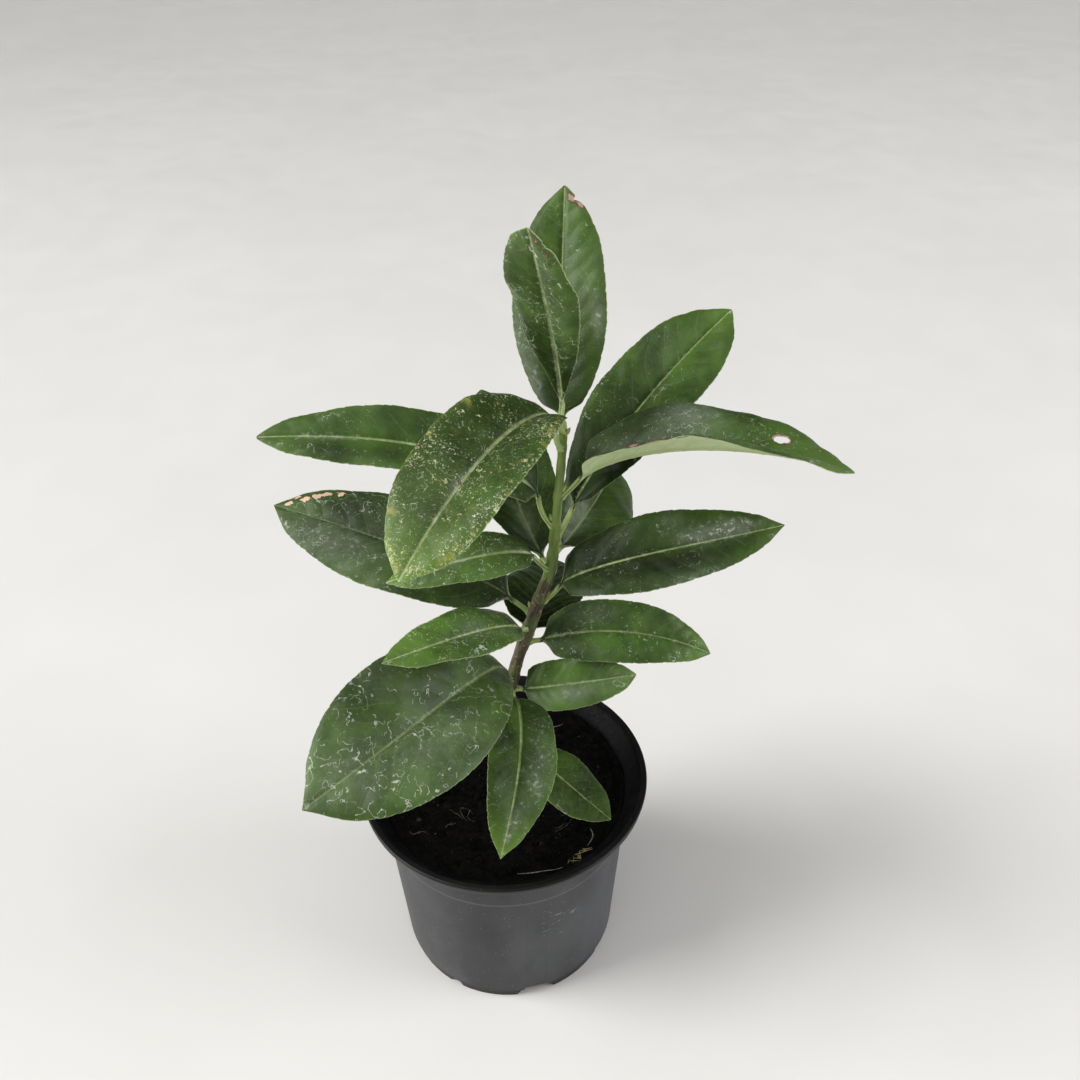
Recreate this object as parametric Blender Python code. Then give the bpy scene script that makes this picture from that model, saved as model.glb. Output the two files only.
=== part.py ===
"""A young cherry laurel growing in a round black nursery pot.

The pot, its soil, the stem and each leaf are closed solids of their own. Every length below is in
millimetres and every angle in degrees; the meshes themselves are in metres, with +Z up and the origin
under the middle of the pot, on the surface that it stands on.
"""

import math
from dataclasses import dataclass

import bmesh
import bpy
from mathutils import Matrix, Vector, noise

MM = 0.001
UP = Vector((0.0, 0.0, 1.0))

# Gap kept between pieces that touch on the real plant
SEAT_GAP = 0.3

# Pot: the rim is the size that all the others were scaled from
RIM_RADIUS = 65.0
POT_HEIGHT = 99.0
FOOT_RADIUS = 49.8
FOOT_BAND = 4.8
WALL_FOOT_RADIUS = 50.9
WALL_TOP_RADIUS = 56.6
WALL_TOP = 91.0
WALL = 1.3
LIP_DEPTH = 3.5
LIP_SHELL = 1.0
LIP_FLAT = 3.0
LIP_SLANT = 0.3
FLARE_OUT = 2.2
FLARE_UP = 3.2
FLOOR_PAD_RADIUS = 26.0
FLOOR_RAISE = 2.5
FOOT_RING_WIDTH = 5.0
STEP_SLANT = 2.0
EDGE_ROUND = 0.6
POT_SIDES = 48

# Drain notches in the foot: eight around, low and high ones in turn
NOTCH_COUNT = 8
FIRST_NOTCH_ANGLE = -120.0
LOW_NOTCH = (7.0, 3.0)
HIGH_NOTCH = (18.5, 6.8)
NOTCH_TAPER = 0.55
NOTCH_INNER_RADIUS = 45.0
NOTCH_CORNER = 0.96
CUTTER_OVERRUN = 5.0

# Soil
SOIL_TOP = 90.0
SOIL_LUMP = 1.6
LUMP_SPACING = 9.0
LUMP_SLICE = 0.37
SOIL_RINGS = 8
RING_CROWDING = 1.15

# Stem centre line, from its foot in the soil to its tip: x, height and radius at that height
STEM_Y = -7.0
STEM_LINE = (
    (-2.0, 52.0, 3.0),
    (-2.0, 90.0, 3.0),
    (0.0, 123.0, 2.8),
    (3.0, 150.0, 2.6),
    (8.0, 173.0, 2.5),
    (13.5, 192.0, 2.5),
    (19.0, 210.0, 2.4),
    (21.5, 218.0, 2.2),
    (23.5, 237.0, 1.8),
    (24.7, 253.0, 1.7),
    (25.8, 267.0, 1.6),
    (26.4, 279.0, 1.3),
)
STEM_FOOT = STEM_LINE[0][1]
STEM_TIP = STEM_LINE[-1][1]
STEM_SIDES = 12
STEM_STEP = 5.0
NODE_SWELL = 0.35
NODE_REACH = 2.4
BUD_RADIUS = 0.9
BUD_LENGTH = 2.8
BUD_CLIMB = 2.2
BUD_RISE = 2.6
BUD_SEAT = 0.75
BUD_SIDES = 8
TIP_BUD_RADIUS = 1.35
TIP_BUD_LENGTH = 5.0

# Section of a bud: share of its length, share of its radius
BUD_SECTION = ((-0.15, 0.7), (0.15, 0.95), (0.45, 1.0), (0.75, 0.62), (0.97, 0.14))

# Blades and petioles
BLADE_THICKNESS = 0.8
RIB_DEPTH = 1.5
RIB_TAPER = 1.2
PETIOLE_RADIUS = 1.0
PETIOLE_DROP = 0.7
PETIOLE_LEAD = 0.45
STALK_BLEND = 0.07
STALK_ANGLES = (165.0, 130.0, 90.0, 50.0, 15.0)
TIP_HALF_WIDTH = 0.45
BLADE_RINGS = 13
BLADE_CROWDING = 1.15
PETIOLE_RINGS = 3
COLUMNS = (-1.0, -0.5, 0.0, 0.5, 1.0)
BELLY = 0.28
RIB_STEPS = 60
STEEPEST_START = 45.0

# Waves of the margin: they fade where the blade is narrow and next to its tip
WAVE_HEIGHT = 0.8
WAVES = 2.5
WAVE_SHIFT = 0.7
WAVE_LAG = 1.9
WAVE_TIP_FADE = 6.0
WAVE_FULL_WIDTH = 10.0


@dataclass(frozen=True)
class Leaf:
    """One leaf: where it leaves the stem, how it hangs and how its blade is cut.

    height: of the petiole's foot above the table
    heading: direction seen from above, 0 along +X and 90 along +Y
    rise: slope of the petiole above the horizontal
    droop: how far the blade has bent down from that slope at its tip
    bend: how early it bends; below 1, mostly next to the petiole
    sweep: how far the blade has turned sideways at its tip
    petiole, length, width: of the stalk and of the blade
    widest: share of the blade's length at which it is widest
    pointed: how narrow the blade's two ends are
    taper: share of that at its foot; below 1 the foot is fuller
    fold: slope of each half blade up from the midrib
    roll, twist: turn about the midrib at the blade's foot, and what its tip adds
    """

    name: str
    height: float
    heading: float
    rise: float
    droop: float
    bend: float
    sweep: float
    petiole: float
    length: float
    width: float
    widest: float
    pointed: float
    taper: float
    fold: float
    roll: float
    twist: float


LEAVES = (
    Leaf("leaf_crown_back", 276.5, 92, 78, 10, 0.79, -10, 5.2, 79, 33.9, 0.54, 1.47, 0.86, 15, -9, -7),
    Leaf("leaf_crown_front", 279.5, -111, 96, 42, 0.33, 7, 10, 83, 24.8, 0.58, 1.61, 1.25, 7, 179, -21),
    Leaf("leaf_speckled", 272.6, -121, 82, 116, 0.31, -2, 12.8, 97, 38.5, 0.53, 1.32, 0.99, 22, -9, 0),
    Leaf("leaf_holed", 251.8, -5, 64, 71, 0.3, -20, 9.6, 99, 40.9, 0.53, 1.14, 0.74, 33, -3, -12),
    Leaf("leaf_upper_left", 239.1, 187, 80, 80, 0.3, -2, 13.3, 106, 27, 0.47, 1.0, 0.67, 19, -33, 1),
    Leaf("leaf_upper_right", 232.9, 40, 63, 30, 0.3, -12, 10.8, 97, 37.4, 0.55, 1.35, 0.99, 19, 11, 12),
    Leaf("leaf_back_right", 224.5, 61, 2, 7, 0.83, 17, 3.9, 73, 35.6, 0.54, 1.18, 1.25, 10, 29, 22),
    Leaf("leaf_back_left", 219.7, 123, 31, -18, 0.41, -12, 2.4, 72, 37.4, 0.55, 1.45, 0.94, 22, -2, 4),
    Leaf("leaf_left_small", 219.6, -151, 69, 90, 0.3, -27, 8.4, 60, 19.5, 0.44, 1.19, 0.86, 2, -26, 4),
    Leaf("leaf_right_long", 203.7, -18, 67, 63, 0.3, 32, 9.2, 92, 30.1, 0.46, 1.44, 0.86, 12, 28, 17),
    Leaf("leaf_spotted", 197, 169, 53, 49, 0.3, -11, 7.1, 106, 43.5, 0.48, 1.41, 0.98, 3, -17, -6),
    Leaf("leaf_left_lower", 190.5, -128, 64, 58, 0.3, -16, 2, 72, 23.5, 0.42, 1.23, 1.12, 10, -21, 11),
    Leaf("leaf_back_low", 184.9, 76, -9, 8, 0.81, 15, 2, 78, 35.8, 0.47, 1.23, 0.93, 9, 5, -3),
    Leaf("leaf_right_lower", 182.2, -5, 24, 54, 0.92, 3, 3.2, 72, 26.1, 0.43, 1.15, 0.93, 9, 40, -2),
    Leaf("leaf_large_front", 163.6, -114, 79, 97, 0.3, -33, 8.8, 111, 54.4, 0.51, 1.7, 1.25, 14, -24, -3),
    Leaf("leaf_right_small", 157.1, -20, 23, 0, 0.8, 5, 2, 52, 21.4, 0.4, 1.0, 0.89, 13, 48, 13),
    Leaf("leaf_front_centre", 156.9, -77, 32, 80, 0.72, -36, 6.2, 76, 29.1, 0.45, 1.55, 1.13, 21, -21, -9),
    Leaf("leaf_front_low", 133, -45, -9, 13, 0.82, 11, 6.3, 51, 23.9, 0.51, 1.42, 1.01, 0, 7, 0),
)

# Leaf whose blade an insect has bored through: where along and across it, and the hole's two radii
HOLED_LEAF = "leaf_holed"
HOLE_ALONG = 0.735
HOLE_ACROSS = 0.37
HOLE_RADII = (2.8, 2.2)
HOLE_SIDES = 14
HOLE_REACH = 6.0
HOLE_STEP = 0.02

# Leaves with a bud in their axil: the bud sits just above the petiole's foot
BUDDED_LEAVES = ("leaf_holed", "leaf_upper_left", "leaf_spotted", "leaf_right_long", "leaf_right_lower")

# Colour, roughness and metallic value of each material
POT_LOOK = ((0.030, 0.031, 0.034, 1.0), 0.42, 0.0)
SOIL_LOOK = ((0.014, 0.011, 0.009, 1.0), 0.95, 0.0)
STEM_LOOK = ((0.130, 0.150, 0.045, 1.0), 0.60, 0.0)
LEAF_LOOK = ((0.045, 0.100, 0.030, 1.0), 0.38, 0.0)


def clear_scene():
    """Remove every object that the new scene starts with."""
    for item in list(bpy.data.objects):
        bpy.data.objects.remove(item, do_unlink=True)


def make_material(name, look):
    """Give a Principled material with a look's colour, roughness and metallic value."""
    colour, roughness, metallic = look
    material = bpy.data.materials.new(name)
    material.use_nodes = True
    shader = material.node_tree.nodes["Principled BSDF"]
    shader.inputs["Base Color"].default_value = colour
    shader.inputs["Roughness"].default_value = roughness
    shader.inputs["Metallic"].default_value = metallic
    material.diffuse_color = colour
    return material


def add_object(name, mesh, material=None):
    """Link a mesh into the scene as an object at the origin."""
    item = bpy.data.objects.new(name, mesh)
    bpy.context.scene.collection.objects.link(item)
    if material is not None:
        mesh.materials.append(material)
    return item


def finish_mesh(name, shape, smooth_angle=40.0):
    """Turn a bmesh in millimetres into a smooth-shaded mesh in metres with outward faces."""
    bmesh.ops.recalc_face_normals(shape, faces=shape.faces)
    bmesh.ops.scale(shape, vec=(MM, MM, MM), verts=shape.verts)
    mesh = bpy.data.meshes.new(name)
    shape.to_mesh(mesh)
    shape.free()
    mesh.shade_smooth()
    mesh.set_sharp_from_angle(angle=math.radians(smooth_angle))
    return mesh


def skin_rings(name, rings, smooth_angle=40.0):
    """Close a row of rings, each with the same number of points, into one solid.

    The two ends are filled, and every strip between rings is split the same way all round, so the
    upper and lower faces of a thin blade bend alike.
    """
    shape = bmesh.new()
    rows = [[shape.verts.new(point) for point in ring] for ring in rings]
    count = len(rings[0])
    half = count // 2
    for near, far in zip(rows, rows[1:]):
        for k in range(count):
            n = (k + 1) % count
            if k < half:
                shape.faces.new((near[k], far[k], far[n]))
                shape.faces.new((near[k], far[n], near[n]))
            else:
                shape.faces.new((near[k], far[k], near[n]))
                shape.faces.new((near[n], far[k], far[n]))
    for end in (rows[0], rows[-1]):
        centre = shape.verts.new(sum((v.co for v in end), Vector()) / count)
        for k in range(count):
            shape.faces.new((end[k], end[(k + 1) % count], centre))
    return finish_mesh(name, shape, smooth_angle)


def apply_boolean(item, operation, other, solver="EXACT"):
    """Cut an object by another, or unite it with a collection's objects, and apply the result."""
    modifier = item.modifiers.new("boolean", "BOOLEAN")
    modifier.operation = operation
    modifier.solver = solver
    if isinstance(other, bpy.types.Collection):
        modifier.operand_type = "COLLECTION"
        modifier.collection = other
        used = list(other.objects)
    else:
        modifier.object = other
        used = [other]
    bpy.context.view_layer.objects.active = item
    bpy.ops.object.modifier_apply(modifier=modifier.name)
    for piece in used:
        bpy.data.objects.remove(piece, do_unlink=True)
    if isinstance(other, bpy.types.Collection):
        bpy.data.collections.remove(other)


def circle(centre, radius, height, sides, lift=None):
    """Ring of points round a vertical axis, each raised by lift(x, y) where that is given."""
    points = []
    for k in range(sides):
        angle = 2.0 * math.pi * k / sides
        x = centre[0] + radius * math.cos(angle)
        y = centre[1] + radius * math.sin(angle)
        z = height if lift is None else height + lift(x, y)
        points.append(Vector((x, y, z)))
    return points


# Pot


def wall_radius(height):
    """Outer radius of the pot's tapered wall at a height."""
    share = (height - FOOT_BAND) / (WALL_TOP - FOOT_BAND)
    return WALL_FOOT_RADIUS + share * (WALL_TOP_RADIUS - WALL_FOOT_RADIUS)


def pot_profile():
    """Half section of the pot, from the middle of its underside out, up, over the lip and back in."""
    lip_bottom = POT_HEIGHT - LIP_DEPTH
    lip_inner = RIM_RADIUS - LIP_SHELL
    inner_top = WALL_TOP_RADIUS - WALL
    inner_foot = wall_radius(FLOOR_RAISE + WALL) - WALL
    floor_top = FLOOR_RAISE + WALL
    outside = [
        (FLOOR_PAD_RADIUS, 0.0),
        (FLOOR_PAD_RADIUS + STEP_SLANT, FLOOR_RAISE),
        (FOOT_RADIUS - FOOT_RING_WIDTH - STEP_SLANT, FLOOR_RAISE),
        (FOOT_RADIUS - FOOT_RING_WIDTH, 0.0),
        (FOOT_RADIUS, 0.0),
        (FOOT_RADIUS + LIP_SLANT, FOOT_BAND - EDGE_ROUND),
        (WALL_FOOT_RADIUS, FOOT_BAND),
        (WALL_TOP_RADIUS, WALL_TOP),
        (WALL_TOP_RADIUS + FLARE_OUT, WALL_TOP + FLARE_UP),
        (RIM_RADIUS - LIP_FLAT - LIP_SHELL, POT_HEIGHT - 2.0 * LIP_SHELL),
        (lip_inner - LIP_SLANT, POT_HEIGHT - LIP_SHELL - LIP_SLANT),
        (lip_inner - EDGE_ROUND, lip_bottom),
        (RIM_RADIUS - EDGE_ROUND, lip_bottom),
    ]
    inside = [
        (RIM_RADIUS, POT_HEIGHT - EDGE_ROUND),
        (RIM_RADIUS - EDGE_ROUND, POT_HEIGHT),
        (RIM_RADIUS - LIP_FLAT, POT_HEIGHT),
        (RIM_RADIUS - LIP_FLAT - 2.0 * EDGE_ROUND, POT_HEIGHT - EDGE_ROUND),
        (inner_top + FLARE_OUT, WALL_TOP + FLARE_UP + EDGE_ROUND),
        (inner_top, WALL_TOP + EDGE_ROUND),
        (inner_foot, floor_top + EDGE_ROUND),
        (inner_foot - EDGE_ROUND, floor_top),
        (FLOOR_PAD_RADIUS + EDGE_ROUND, floor_top),
        (FLOOR_PAD_RADIUS - EDGE_ROUND, WALL),
    ]
    return outside + inside


def make_notch_cutter(angle, width, height):
    """Wedge-sided block that cuts one drain notch through the foot of the pot."""
    half_low = width / 2.0
    half_high = half_low * NOTCH_TAPER
    outline = (
        (-half_low, -1.0),
        (half_low, -1.0),
        (half_low * NOTCH_CORNER, EDGE_ROUND),
        (half_high, height),
        (-half_high, height),
        (-half_low * NOTCH_CORNER, EDGE_ROUND),
    )
    shape = bmesh.new()
    near = [shape.verts.new((NOTCH_INNER_RADIUS, y, z)) for y, z in outline]
    far = [shape.verts.new((FOOT_RADIUS + CUTTER_OVERRUN, y, z)) for y, z in outline]
    shape.faces.new(near)
    shape.faces.new(far)
    for k in range(len(outline)):
        n = (k + 1) % len(outline)
        shape.faces.new((near[k], near[n], far[n], far[k]))
    turn = Matrix.Rotation(math.radians(angle), 3, "Z")
    bmesh.ops.transform(shape, matrix=turn.to_4x4(), verts=shape.verts)
    cutter = add_object("notch_cutter", finish_mesh("notch_cutter", shape))
    cutter.hide_render = True
    cutter.display_type = "WIRE"
    return cutter


def make_pot(material):
    """Turn the pot's section, close its floor and cut the notches in its foot."""
    rings = [circle((0.0, 0.0), radius, height, POT_SIDES) for radius, height in pot_profile()]
    pot = add_object("pot", skin_rings("pot", rings, 35.0), material)
    for k in range(NOTCH_COUNT):
        width, height = LOW_NOTCH if k % 2 == 0 else HIGH_NOTCH
        angle = FIRST_NOTCH_ANGLE + k * 360.0 / NOTCH_COUNT
        apply_boolean(pot, "DIFFERENCE", make_notch_cutter(angle, width, height))
    pot.data.set_sharp_from_angle(angle=math.radians(35.0))
    return pot


# Soil


def soil_lump(x, y):
    """Height of the soil's lumps at a place."""
    where = Vector((x / LUMP_SPACING, y / LUMP_SPACING, LUMP_SLICE))
    return SOIL_LUMP * noise.noise(where)


def make_soil(material):
    """Fill the pot with soil that has a lumpy top and a plain hole for the stem."""
    hole_centre = (STEM_LINE[1][0], STEM_Y)
    hole_radius = STEM_LINE[1][2] + SEAT_GAP
    hole_bottom = STEM_FOOT - SEAT_GAP
    floor_top = FLOOR_RAISE + WALL
    soil_radius = wall_radius(SOIL_TOP) - WALL - SEAT_GAP
    foot_radius = wall_radius(floor_top) - WALL - SEAT_GAP - 2.0 * EDGE_ROUND
    rings = [circle(hole_centre, hole_radius, hole_bottom, POT_SIDES)]
    for k in range(SOIL_RINGS + 1):
        share = (k / SOIL_RINGS) ** RING_CROWDING
        centre = (hole_centre[0] * (1.0 - share), hole_centre[1] * (1.0 - share))
        radius = hole_radius + share * (soil_radius - hole_radius)
        rings.append(circle(centre, radius, SOIL_TOP, POT_SIDES, soil_lump))
    rings.append(circle((0.0, 0.0), foot_radius, floor_top + SEAT_GAP, POT_SIDES))
    return add_object("soil", skin_rings("soil", rings, 60.0), material)


# Stem


def stem_at(height):
    """Centre of the stem at a height, on a smooth curve through the stem line's points."""
    line = STEM_LINE
    last = len(line) - 2
    k = next((n for n in range(last) if height < line[n + 1][1]), last)
    (x0, z0, _), (x1, z1, _) = line[k], line[k + 1]
    before = line[max(k - 1, 0)]
    after = line[min(k + 2, len(line) - 1)]
    slope0 = (x1 - before[0]) / (z1 - before[1])
    slope1 = (after[0] - x0) / (after[1] - z0)
    span = z1 - z0
    t = (height - z0) / span
    x = (2 * t**3 - 3 * t**2 + 1) * x0 + (t**3 - 2 * t**2 + t) * span * slope0
    x += (3 * t**2 - 2 * t**3) * x1 + (t**3 - t**2) * span * slope1
    return Vector((x, STEM_Y, height))


def stem_radius(height):
    """Radius of the stem at a height, with a swelling at each leaf's foot."""
    line = STEM_LINE
    last = len(line) - 2
    k = next((n for n in range(last) if height < line[n + 1][1]), last)
    share = (height - line[k][1]) / (line[k + 1][1] - line[k][1])
    radius = line[k][2] + share * (line[k + 1][2] - line[k][2])
    swell = max(math.exp(-(((height - leaf.height) / NODE_REACH) ** 2)) for leaf in LEAVES)
    return radius + NODE_SWELL * swell


def make_bud(name, foot, direction, radius, length):
    """Pointed bud that grows from a foot point along a direction."""
    axis = direction.normalized()
    side = axis.orthogonal().normalized()
    front = axis.cross(side)
    rings = []
    for along, share in BUD_SECTION:
        centre = foot + axis * (along * length)
        ring = []
        for k in range(BUD_SIDES):
            angle = 2.0 * math.pi * k / BUD_SIDES
            offset = side * math.cos(angle) + front * math.sin(angle)
            ring.append(centre + offset * (radius * share))
        rings.append(ring)
    return add_object(name, skin_rings(name, rings))


def make_stem(material):
    """Grow the stem with its swollen nodes, side buds and tip bud as one solid."""
    steps = round((STEM_TIP - STEM_FOOT) / STEM_STEP)
    rings = []
    for k in range(steps + 1):
        height = STEM_FOOT + (STEM_TIP - STEM_FOOT) * k / steps
        rings.append(circle(stem_at(height), stem_radius(height), height, STEM_SIDES))
    stem = add_object("stem", skin_rings("stem", rings, 50.0), material)
    buds = bpy.data.collections.new("buds")
    tip = stem_at(STEM_TIP)
    foots = [("tip_bud", tip, UP, TIP_BUD_RADIUS, TIP_BUD_LENGTH)]
    for leaf in LEAVES:
        if leaf.name in BUDDED_LEAVES:
            height = leaf.height + PETIOLE_RADIUS * BUD_RISE
            outward = heading_vector(leaf.heading, 0.0)
            foot = stem_at(height) + outward * (stem_radius(height) * BUD_SEAT)
            foots.append(("bud_" + leaf.name, foot, outward + UP * BUD_CLIMB, BUD_RADIUS, BUD_LENGTH))
    for name, foot, direction, radius, length in foots:
        bud = make_bud(name, foot, direction, radius, length)
        bpy.context.scene.collection.objects.unlink(bud)
        buds.objects.link(bud)
    apply_boolean(stem, "UNION", buds)
    return stem


# Leaves


def heading_vector(heading, slope):
    """Unit vector from a heading and a slope above the horizontal, both in degrees."""
    turn = math.radians(heading)
    climb = math.radians(slope)
    level = math.cos(climb)
    return Vector((level * math.cos(turn), level * math.sin(turn), math.sin(climb)))


def blade_direction(leaf, u):
    """Direction of the midrib at a share u of the blade's length."""
    return heading_vector(leaf.heading + leaf.sweep * u, leaf.rise - leaf.droop * u**leaf.bend)


def blade_foot(leaf):
    """Point where the petiole ends and the blade begins."""
    outward = heading_vector(leaf.heading, 0.0)
    clear = PETIOLE_RADIUS * math.sin(math.radians(max(leaf.rise, 0.0)))
    offset = stem_radius(leaf.height) + SEAT_GAP + clear
    along = heading_vector(leaf.heading, leaf.rise)
    return stem_at(leaf.height) + outward * offset + along * leaf.petiole


def midrib(leaf):
    """Points of the midrib at even shares of the blade's length."""
    points = [blade_foot(leaf)]
    for k in range(RIB_STEPS):
        middle = (k + 0.5) / RIB_STEPS
        points.append(points[-1] + blade_direction(leaf, middle) * (leaf.length / RIB_STEPS))
    return points


def blade_frame(leaf, points, u):
    """Midrib point, sideways vector and upward vector of the blade at a share u of its length."""
    place = min(u * RIB_STEPS, RIB_STEPS - 1e-6)
    k = int(place)
    point = points[k].lerp(points[k + 1], place - k)
    along = blade_direction(leaf, u)
    turn = math.radians(leaf.heading + leaf.sweep * u)
    side = Vector((-math.sin(turn), math.cos(turn), 0.0))
    upward = along.cross(side)
    rolled = math.radians(leaf.roll + leaf.twist * u)
    across = side * math.cos(rolled) + upward * math.sin(rolled)
    normal = upward * math.cos(rolled) - side * math.sin(rolled)
    return point, across, normal


def half_width(leaf, u):
    """Half the blade's width at a share u of its length."""
    if u <= 0.0 or u >= 1.0:
        return 0.0
    before = (u / leaf.widest) ** (leaf.pointed * leaf.widest * leaf.taper)
    after = ((1.0 - u) / (1.0 - leaf.widest)) ** (leaf.pointed * (1.0 - leaf.widest))
    return leaf.width / 2.0 * before * after


def blade_height(leaf, u, v):
    """Height of the blade's upper face above its midrib, at v from -1 to 1 across it."""
    reach = abs(v)
    width = half_width(leaf, u)
    slope = math.radians(leaf.fold) * (1.0 - u**3)
    phase = leaf.height * WAVE_SHIFT + (WAVE_LAG if v > 0.0 else 0.0)
    fade = min(1.0, WAVE_TIP_FADE * (1.0 - u)) * min(1.0, width / WAVE_FULL_WIDTH)
    wave = WAVE_HEIGHT * math.sin(2.0 * math.pi * WAVES * u + phase) * fade
    belly = BELLY * reach * (1.0 - reach)
    return width * (reach * math.sin(slope) + belly) + wave * v * v


def blade_point(leaf, points, u, v):
    """Point on the blade's upper face."""
    point, across, normal = blade_frame(leaf, points, u)
    slope = math.radians(leaf.fold) * (1.0 - u**3)
    reach = max(half_width(leaf, u), TIP_HALF_WIDTH)
    return point + across * (reach * v * math.cos(slope)) + normal * blade_height(leaf, u, v)


def stalk_section():
    """Round section of a petiole, as sideways and upward shares, in the order of a blade's ring."""
    angles = list(STALK_ANGLES) + [-angle for angle in reversed(STALK_ANGLES)]
    return [(math.cos(math.radians(a)), math.sin(math.radians(a))) for a in angles]


def blade_ring(leaf, points, u):
    """Ring of points round the blade at a share u: the upper face out, the lower face back."""
    point, across, normal = blade_frame(leaf, points, u)
    slope = math.radians(leaf.fold) * (1.0 - u**3)
    blade = BLADE_THICKNESS / math.cos(slope)
    rib = max(RIB_DEPTH * (1.0 - RIB_TAPER * u), BLADE_THICKNESS)
    upper = [blade_point(leaf, points, u, v) for v in COLUMNS]
    lower = [
        top - normal * (rib if v == 0.0 else blade)
        for v, top in zip(reversed(COLUMNS), reversed(upper))
    ]
    flat = upper + lower
    stalk = max(0.0, 1.0 - u / STALK_BLEND)
    centre = point - normal * PETIOLE_RADIUS * PETIOLE_DROP
    mixed = []
    for place, (x, y) in zip(flat, stalk_section()):
        rounded = centre + (across * x + normal * y) * PETIOLE_RADIUS
        mixed.append(place.lerp(rounded, stalk))
    return mixed


def petiole_rings(leaf, points):
    """Rings of the petiole, from its flat foot against the stem to the blade's first ring."""
    start_slope = max(min(leaf.rise, STEEPEST_START), -STEEPEST_START)
    outward = heading_vector(leaf.heading, 0.0)
    start = stem_at(leaf.height) + outward * (stem_radius(leaf.height) + SEAT_GAP)
    end, end_across, end_normal = blade_frame(leaf, points, 0.0)
    end = end - end_normal * PETIOLE_RADIUS * PETIOLE_DROP
    reach = (end - start).length
    leave = start + heading_vector(leaf.heading, start_slope) * (PETIOLE_LEAD * reach)
    face = -1.0 if abs(leaf.roll) > 90.0 else 1.0
    side = Vector((-outward.y, outward.x, 0.0)) * face
    rings = []
    for k in range(PETIOLE_RINGS):
        t = k / PETIOLE_RINGS
        centre = start * (1 - t) ** 2 + leave * (2 * t * (1 - t)) + end * t**2
        along = ((leave - start) * (1 - t) + (end - leave) * t).normalized()
        across = side.lerp(end_across, t).normalized()
        upward = along.cross(across).normalized()
        if k == 0:
            upward = UP * face / math.cos(math.radians(start_slope))
        section = [(across * x + upward * y) * PETIOLE_RADIUS for x, y in stalk_section()]
        rings.append([centre + offset for offset in section])
    return rings


def make_hole_cutter(leaf, points):
    """Oval plug that bores the insect hole through a blade."""
    centre = blade_point(leaf, points, HOLE_ALONG, HOLE_ACROSS)
    ahead = blade_point(leaf, points, HOLE_ALONG + HOLE_STEP, HOLE_ACROSS)
    beside = blade_point(leaf, points, HOLE_ALONG, HOLE_ACROSS + HOLE_STEP)
    along = (ahead - centre).normalized()
    normal = along.cross(beside - centre).normalized()
    across = normal.cross(along)
    rings = []
    for height in (-HOLE_REACH, HOLE_REACH):
        ring = []
        for k in range(HOLE_SIDES):
            angle = 2.0 * math.pi * k / HOLE_SIDES
            offset = along * (HOLE_RADII[0] * math.cos(angle))
            offset += across * (HOLE_RADII[1] * math.sin(angle))
            ring.append(centre + offset + normal * height)
        rings.append(ring)
    cutter = add_object("hole_cutter", skin_rings("hole_cutter", rings))
    cutter.hide_render = True
    cutter.display_type = "WIRE"
    return cutter


def make_leaf(leaf, material):
    """Grow one leaf, petiole and blade together, as one solid."""
    points = midrib(leaf)
    rings = petiole_rings(leaf, points)
    for k in range(BLADE_RINGS):
        rings.append(blade_ring(leaf, points, (k / (BLADE_RINGS - 1)) ** BLADE_CROWDING))
    item = add_object(leaf.name, skin_rings(leaf.name, rings, 60.0), material)
    if leaf.name == HOLED_LEAF:
        apply_boolean(item, "DIFFERENCE", make_hole_cutter(leaf, points))
    return item


def main():
    """Build the pot, the soil, the stem and the leaves."""
    clear_scene()
    make_pot(make_material("pot_plastic", POT_LOOK))
    make_soil(make_material("peat", SOIL_LOOK))
    make_stem(make_material("stem_bark", STEM_LOOK))
    leaf_green = make_material("leaf_green", LEAF_LOOK)
    for leaf in LEAVES:
        make_leaf(leaf, leaf_green)


main()
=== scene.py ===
"""A young cherry laurel in a round black nursery pot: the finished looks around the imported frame.

The frame gives the solids. This script lays finer pieces in their places, gives each surface its
material, and sets a plain studio with the camera. Lengths are in millimetres and angles in degrees;
they become metres when a mesh is written.
"""

import logging
import math
from dataclasses import dataclass, field
from enum import Enum
from functools import reduce
from typing import Any, Iterable, Sequence

import bmesh
import bpy
import numpy as np
from mathutils import Matrix, Vector, noise


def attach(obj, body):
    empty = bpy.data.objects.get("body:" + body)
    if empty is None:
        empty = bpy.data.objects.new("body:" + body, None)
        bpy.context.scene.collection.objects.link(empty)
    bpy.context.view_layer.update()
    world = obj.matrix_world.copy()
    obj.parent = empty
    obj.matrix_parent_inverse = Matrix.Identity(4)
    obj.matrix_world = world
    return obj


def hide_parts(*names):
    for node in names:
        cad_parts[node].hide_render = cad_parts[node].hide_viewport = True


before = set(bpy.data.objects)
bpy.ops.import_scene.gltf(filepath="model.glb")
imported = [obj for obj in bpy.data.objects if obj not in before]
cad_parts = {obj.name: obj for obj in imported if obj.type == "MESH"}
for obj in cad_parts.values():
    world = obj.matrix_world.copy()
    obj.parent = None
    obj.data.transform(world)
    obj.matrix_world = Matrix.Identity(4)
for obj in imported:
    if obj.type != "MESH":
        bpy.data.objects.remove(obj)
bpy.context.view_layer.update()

MM = 0.001
BODY = "root"

Colour = tuple[float, float, float]
Place = tuple[float, float, float]
Pair = tuple[float, float]
Face = tuple[int, ...]
Array = np.ndarray
Socket = bpy.types.NodeSocket
Material = bpy.types.Material
Item = bpy.types.Object
Pieces = list[tuple[Item, str, str | None]]

LOG = logging.getLogger("laurel")


# Small tools


def smooth(value: Array | float, low: float, high: float) -> Array | float:
    """Ease from 0 at low to 1 at high."""
    share = np.clip((value - low) / (high - low), 0.0, 1.0)
    return share * share * (3.0 - 2.0 * share)


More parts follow.
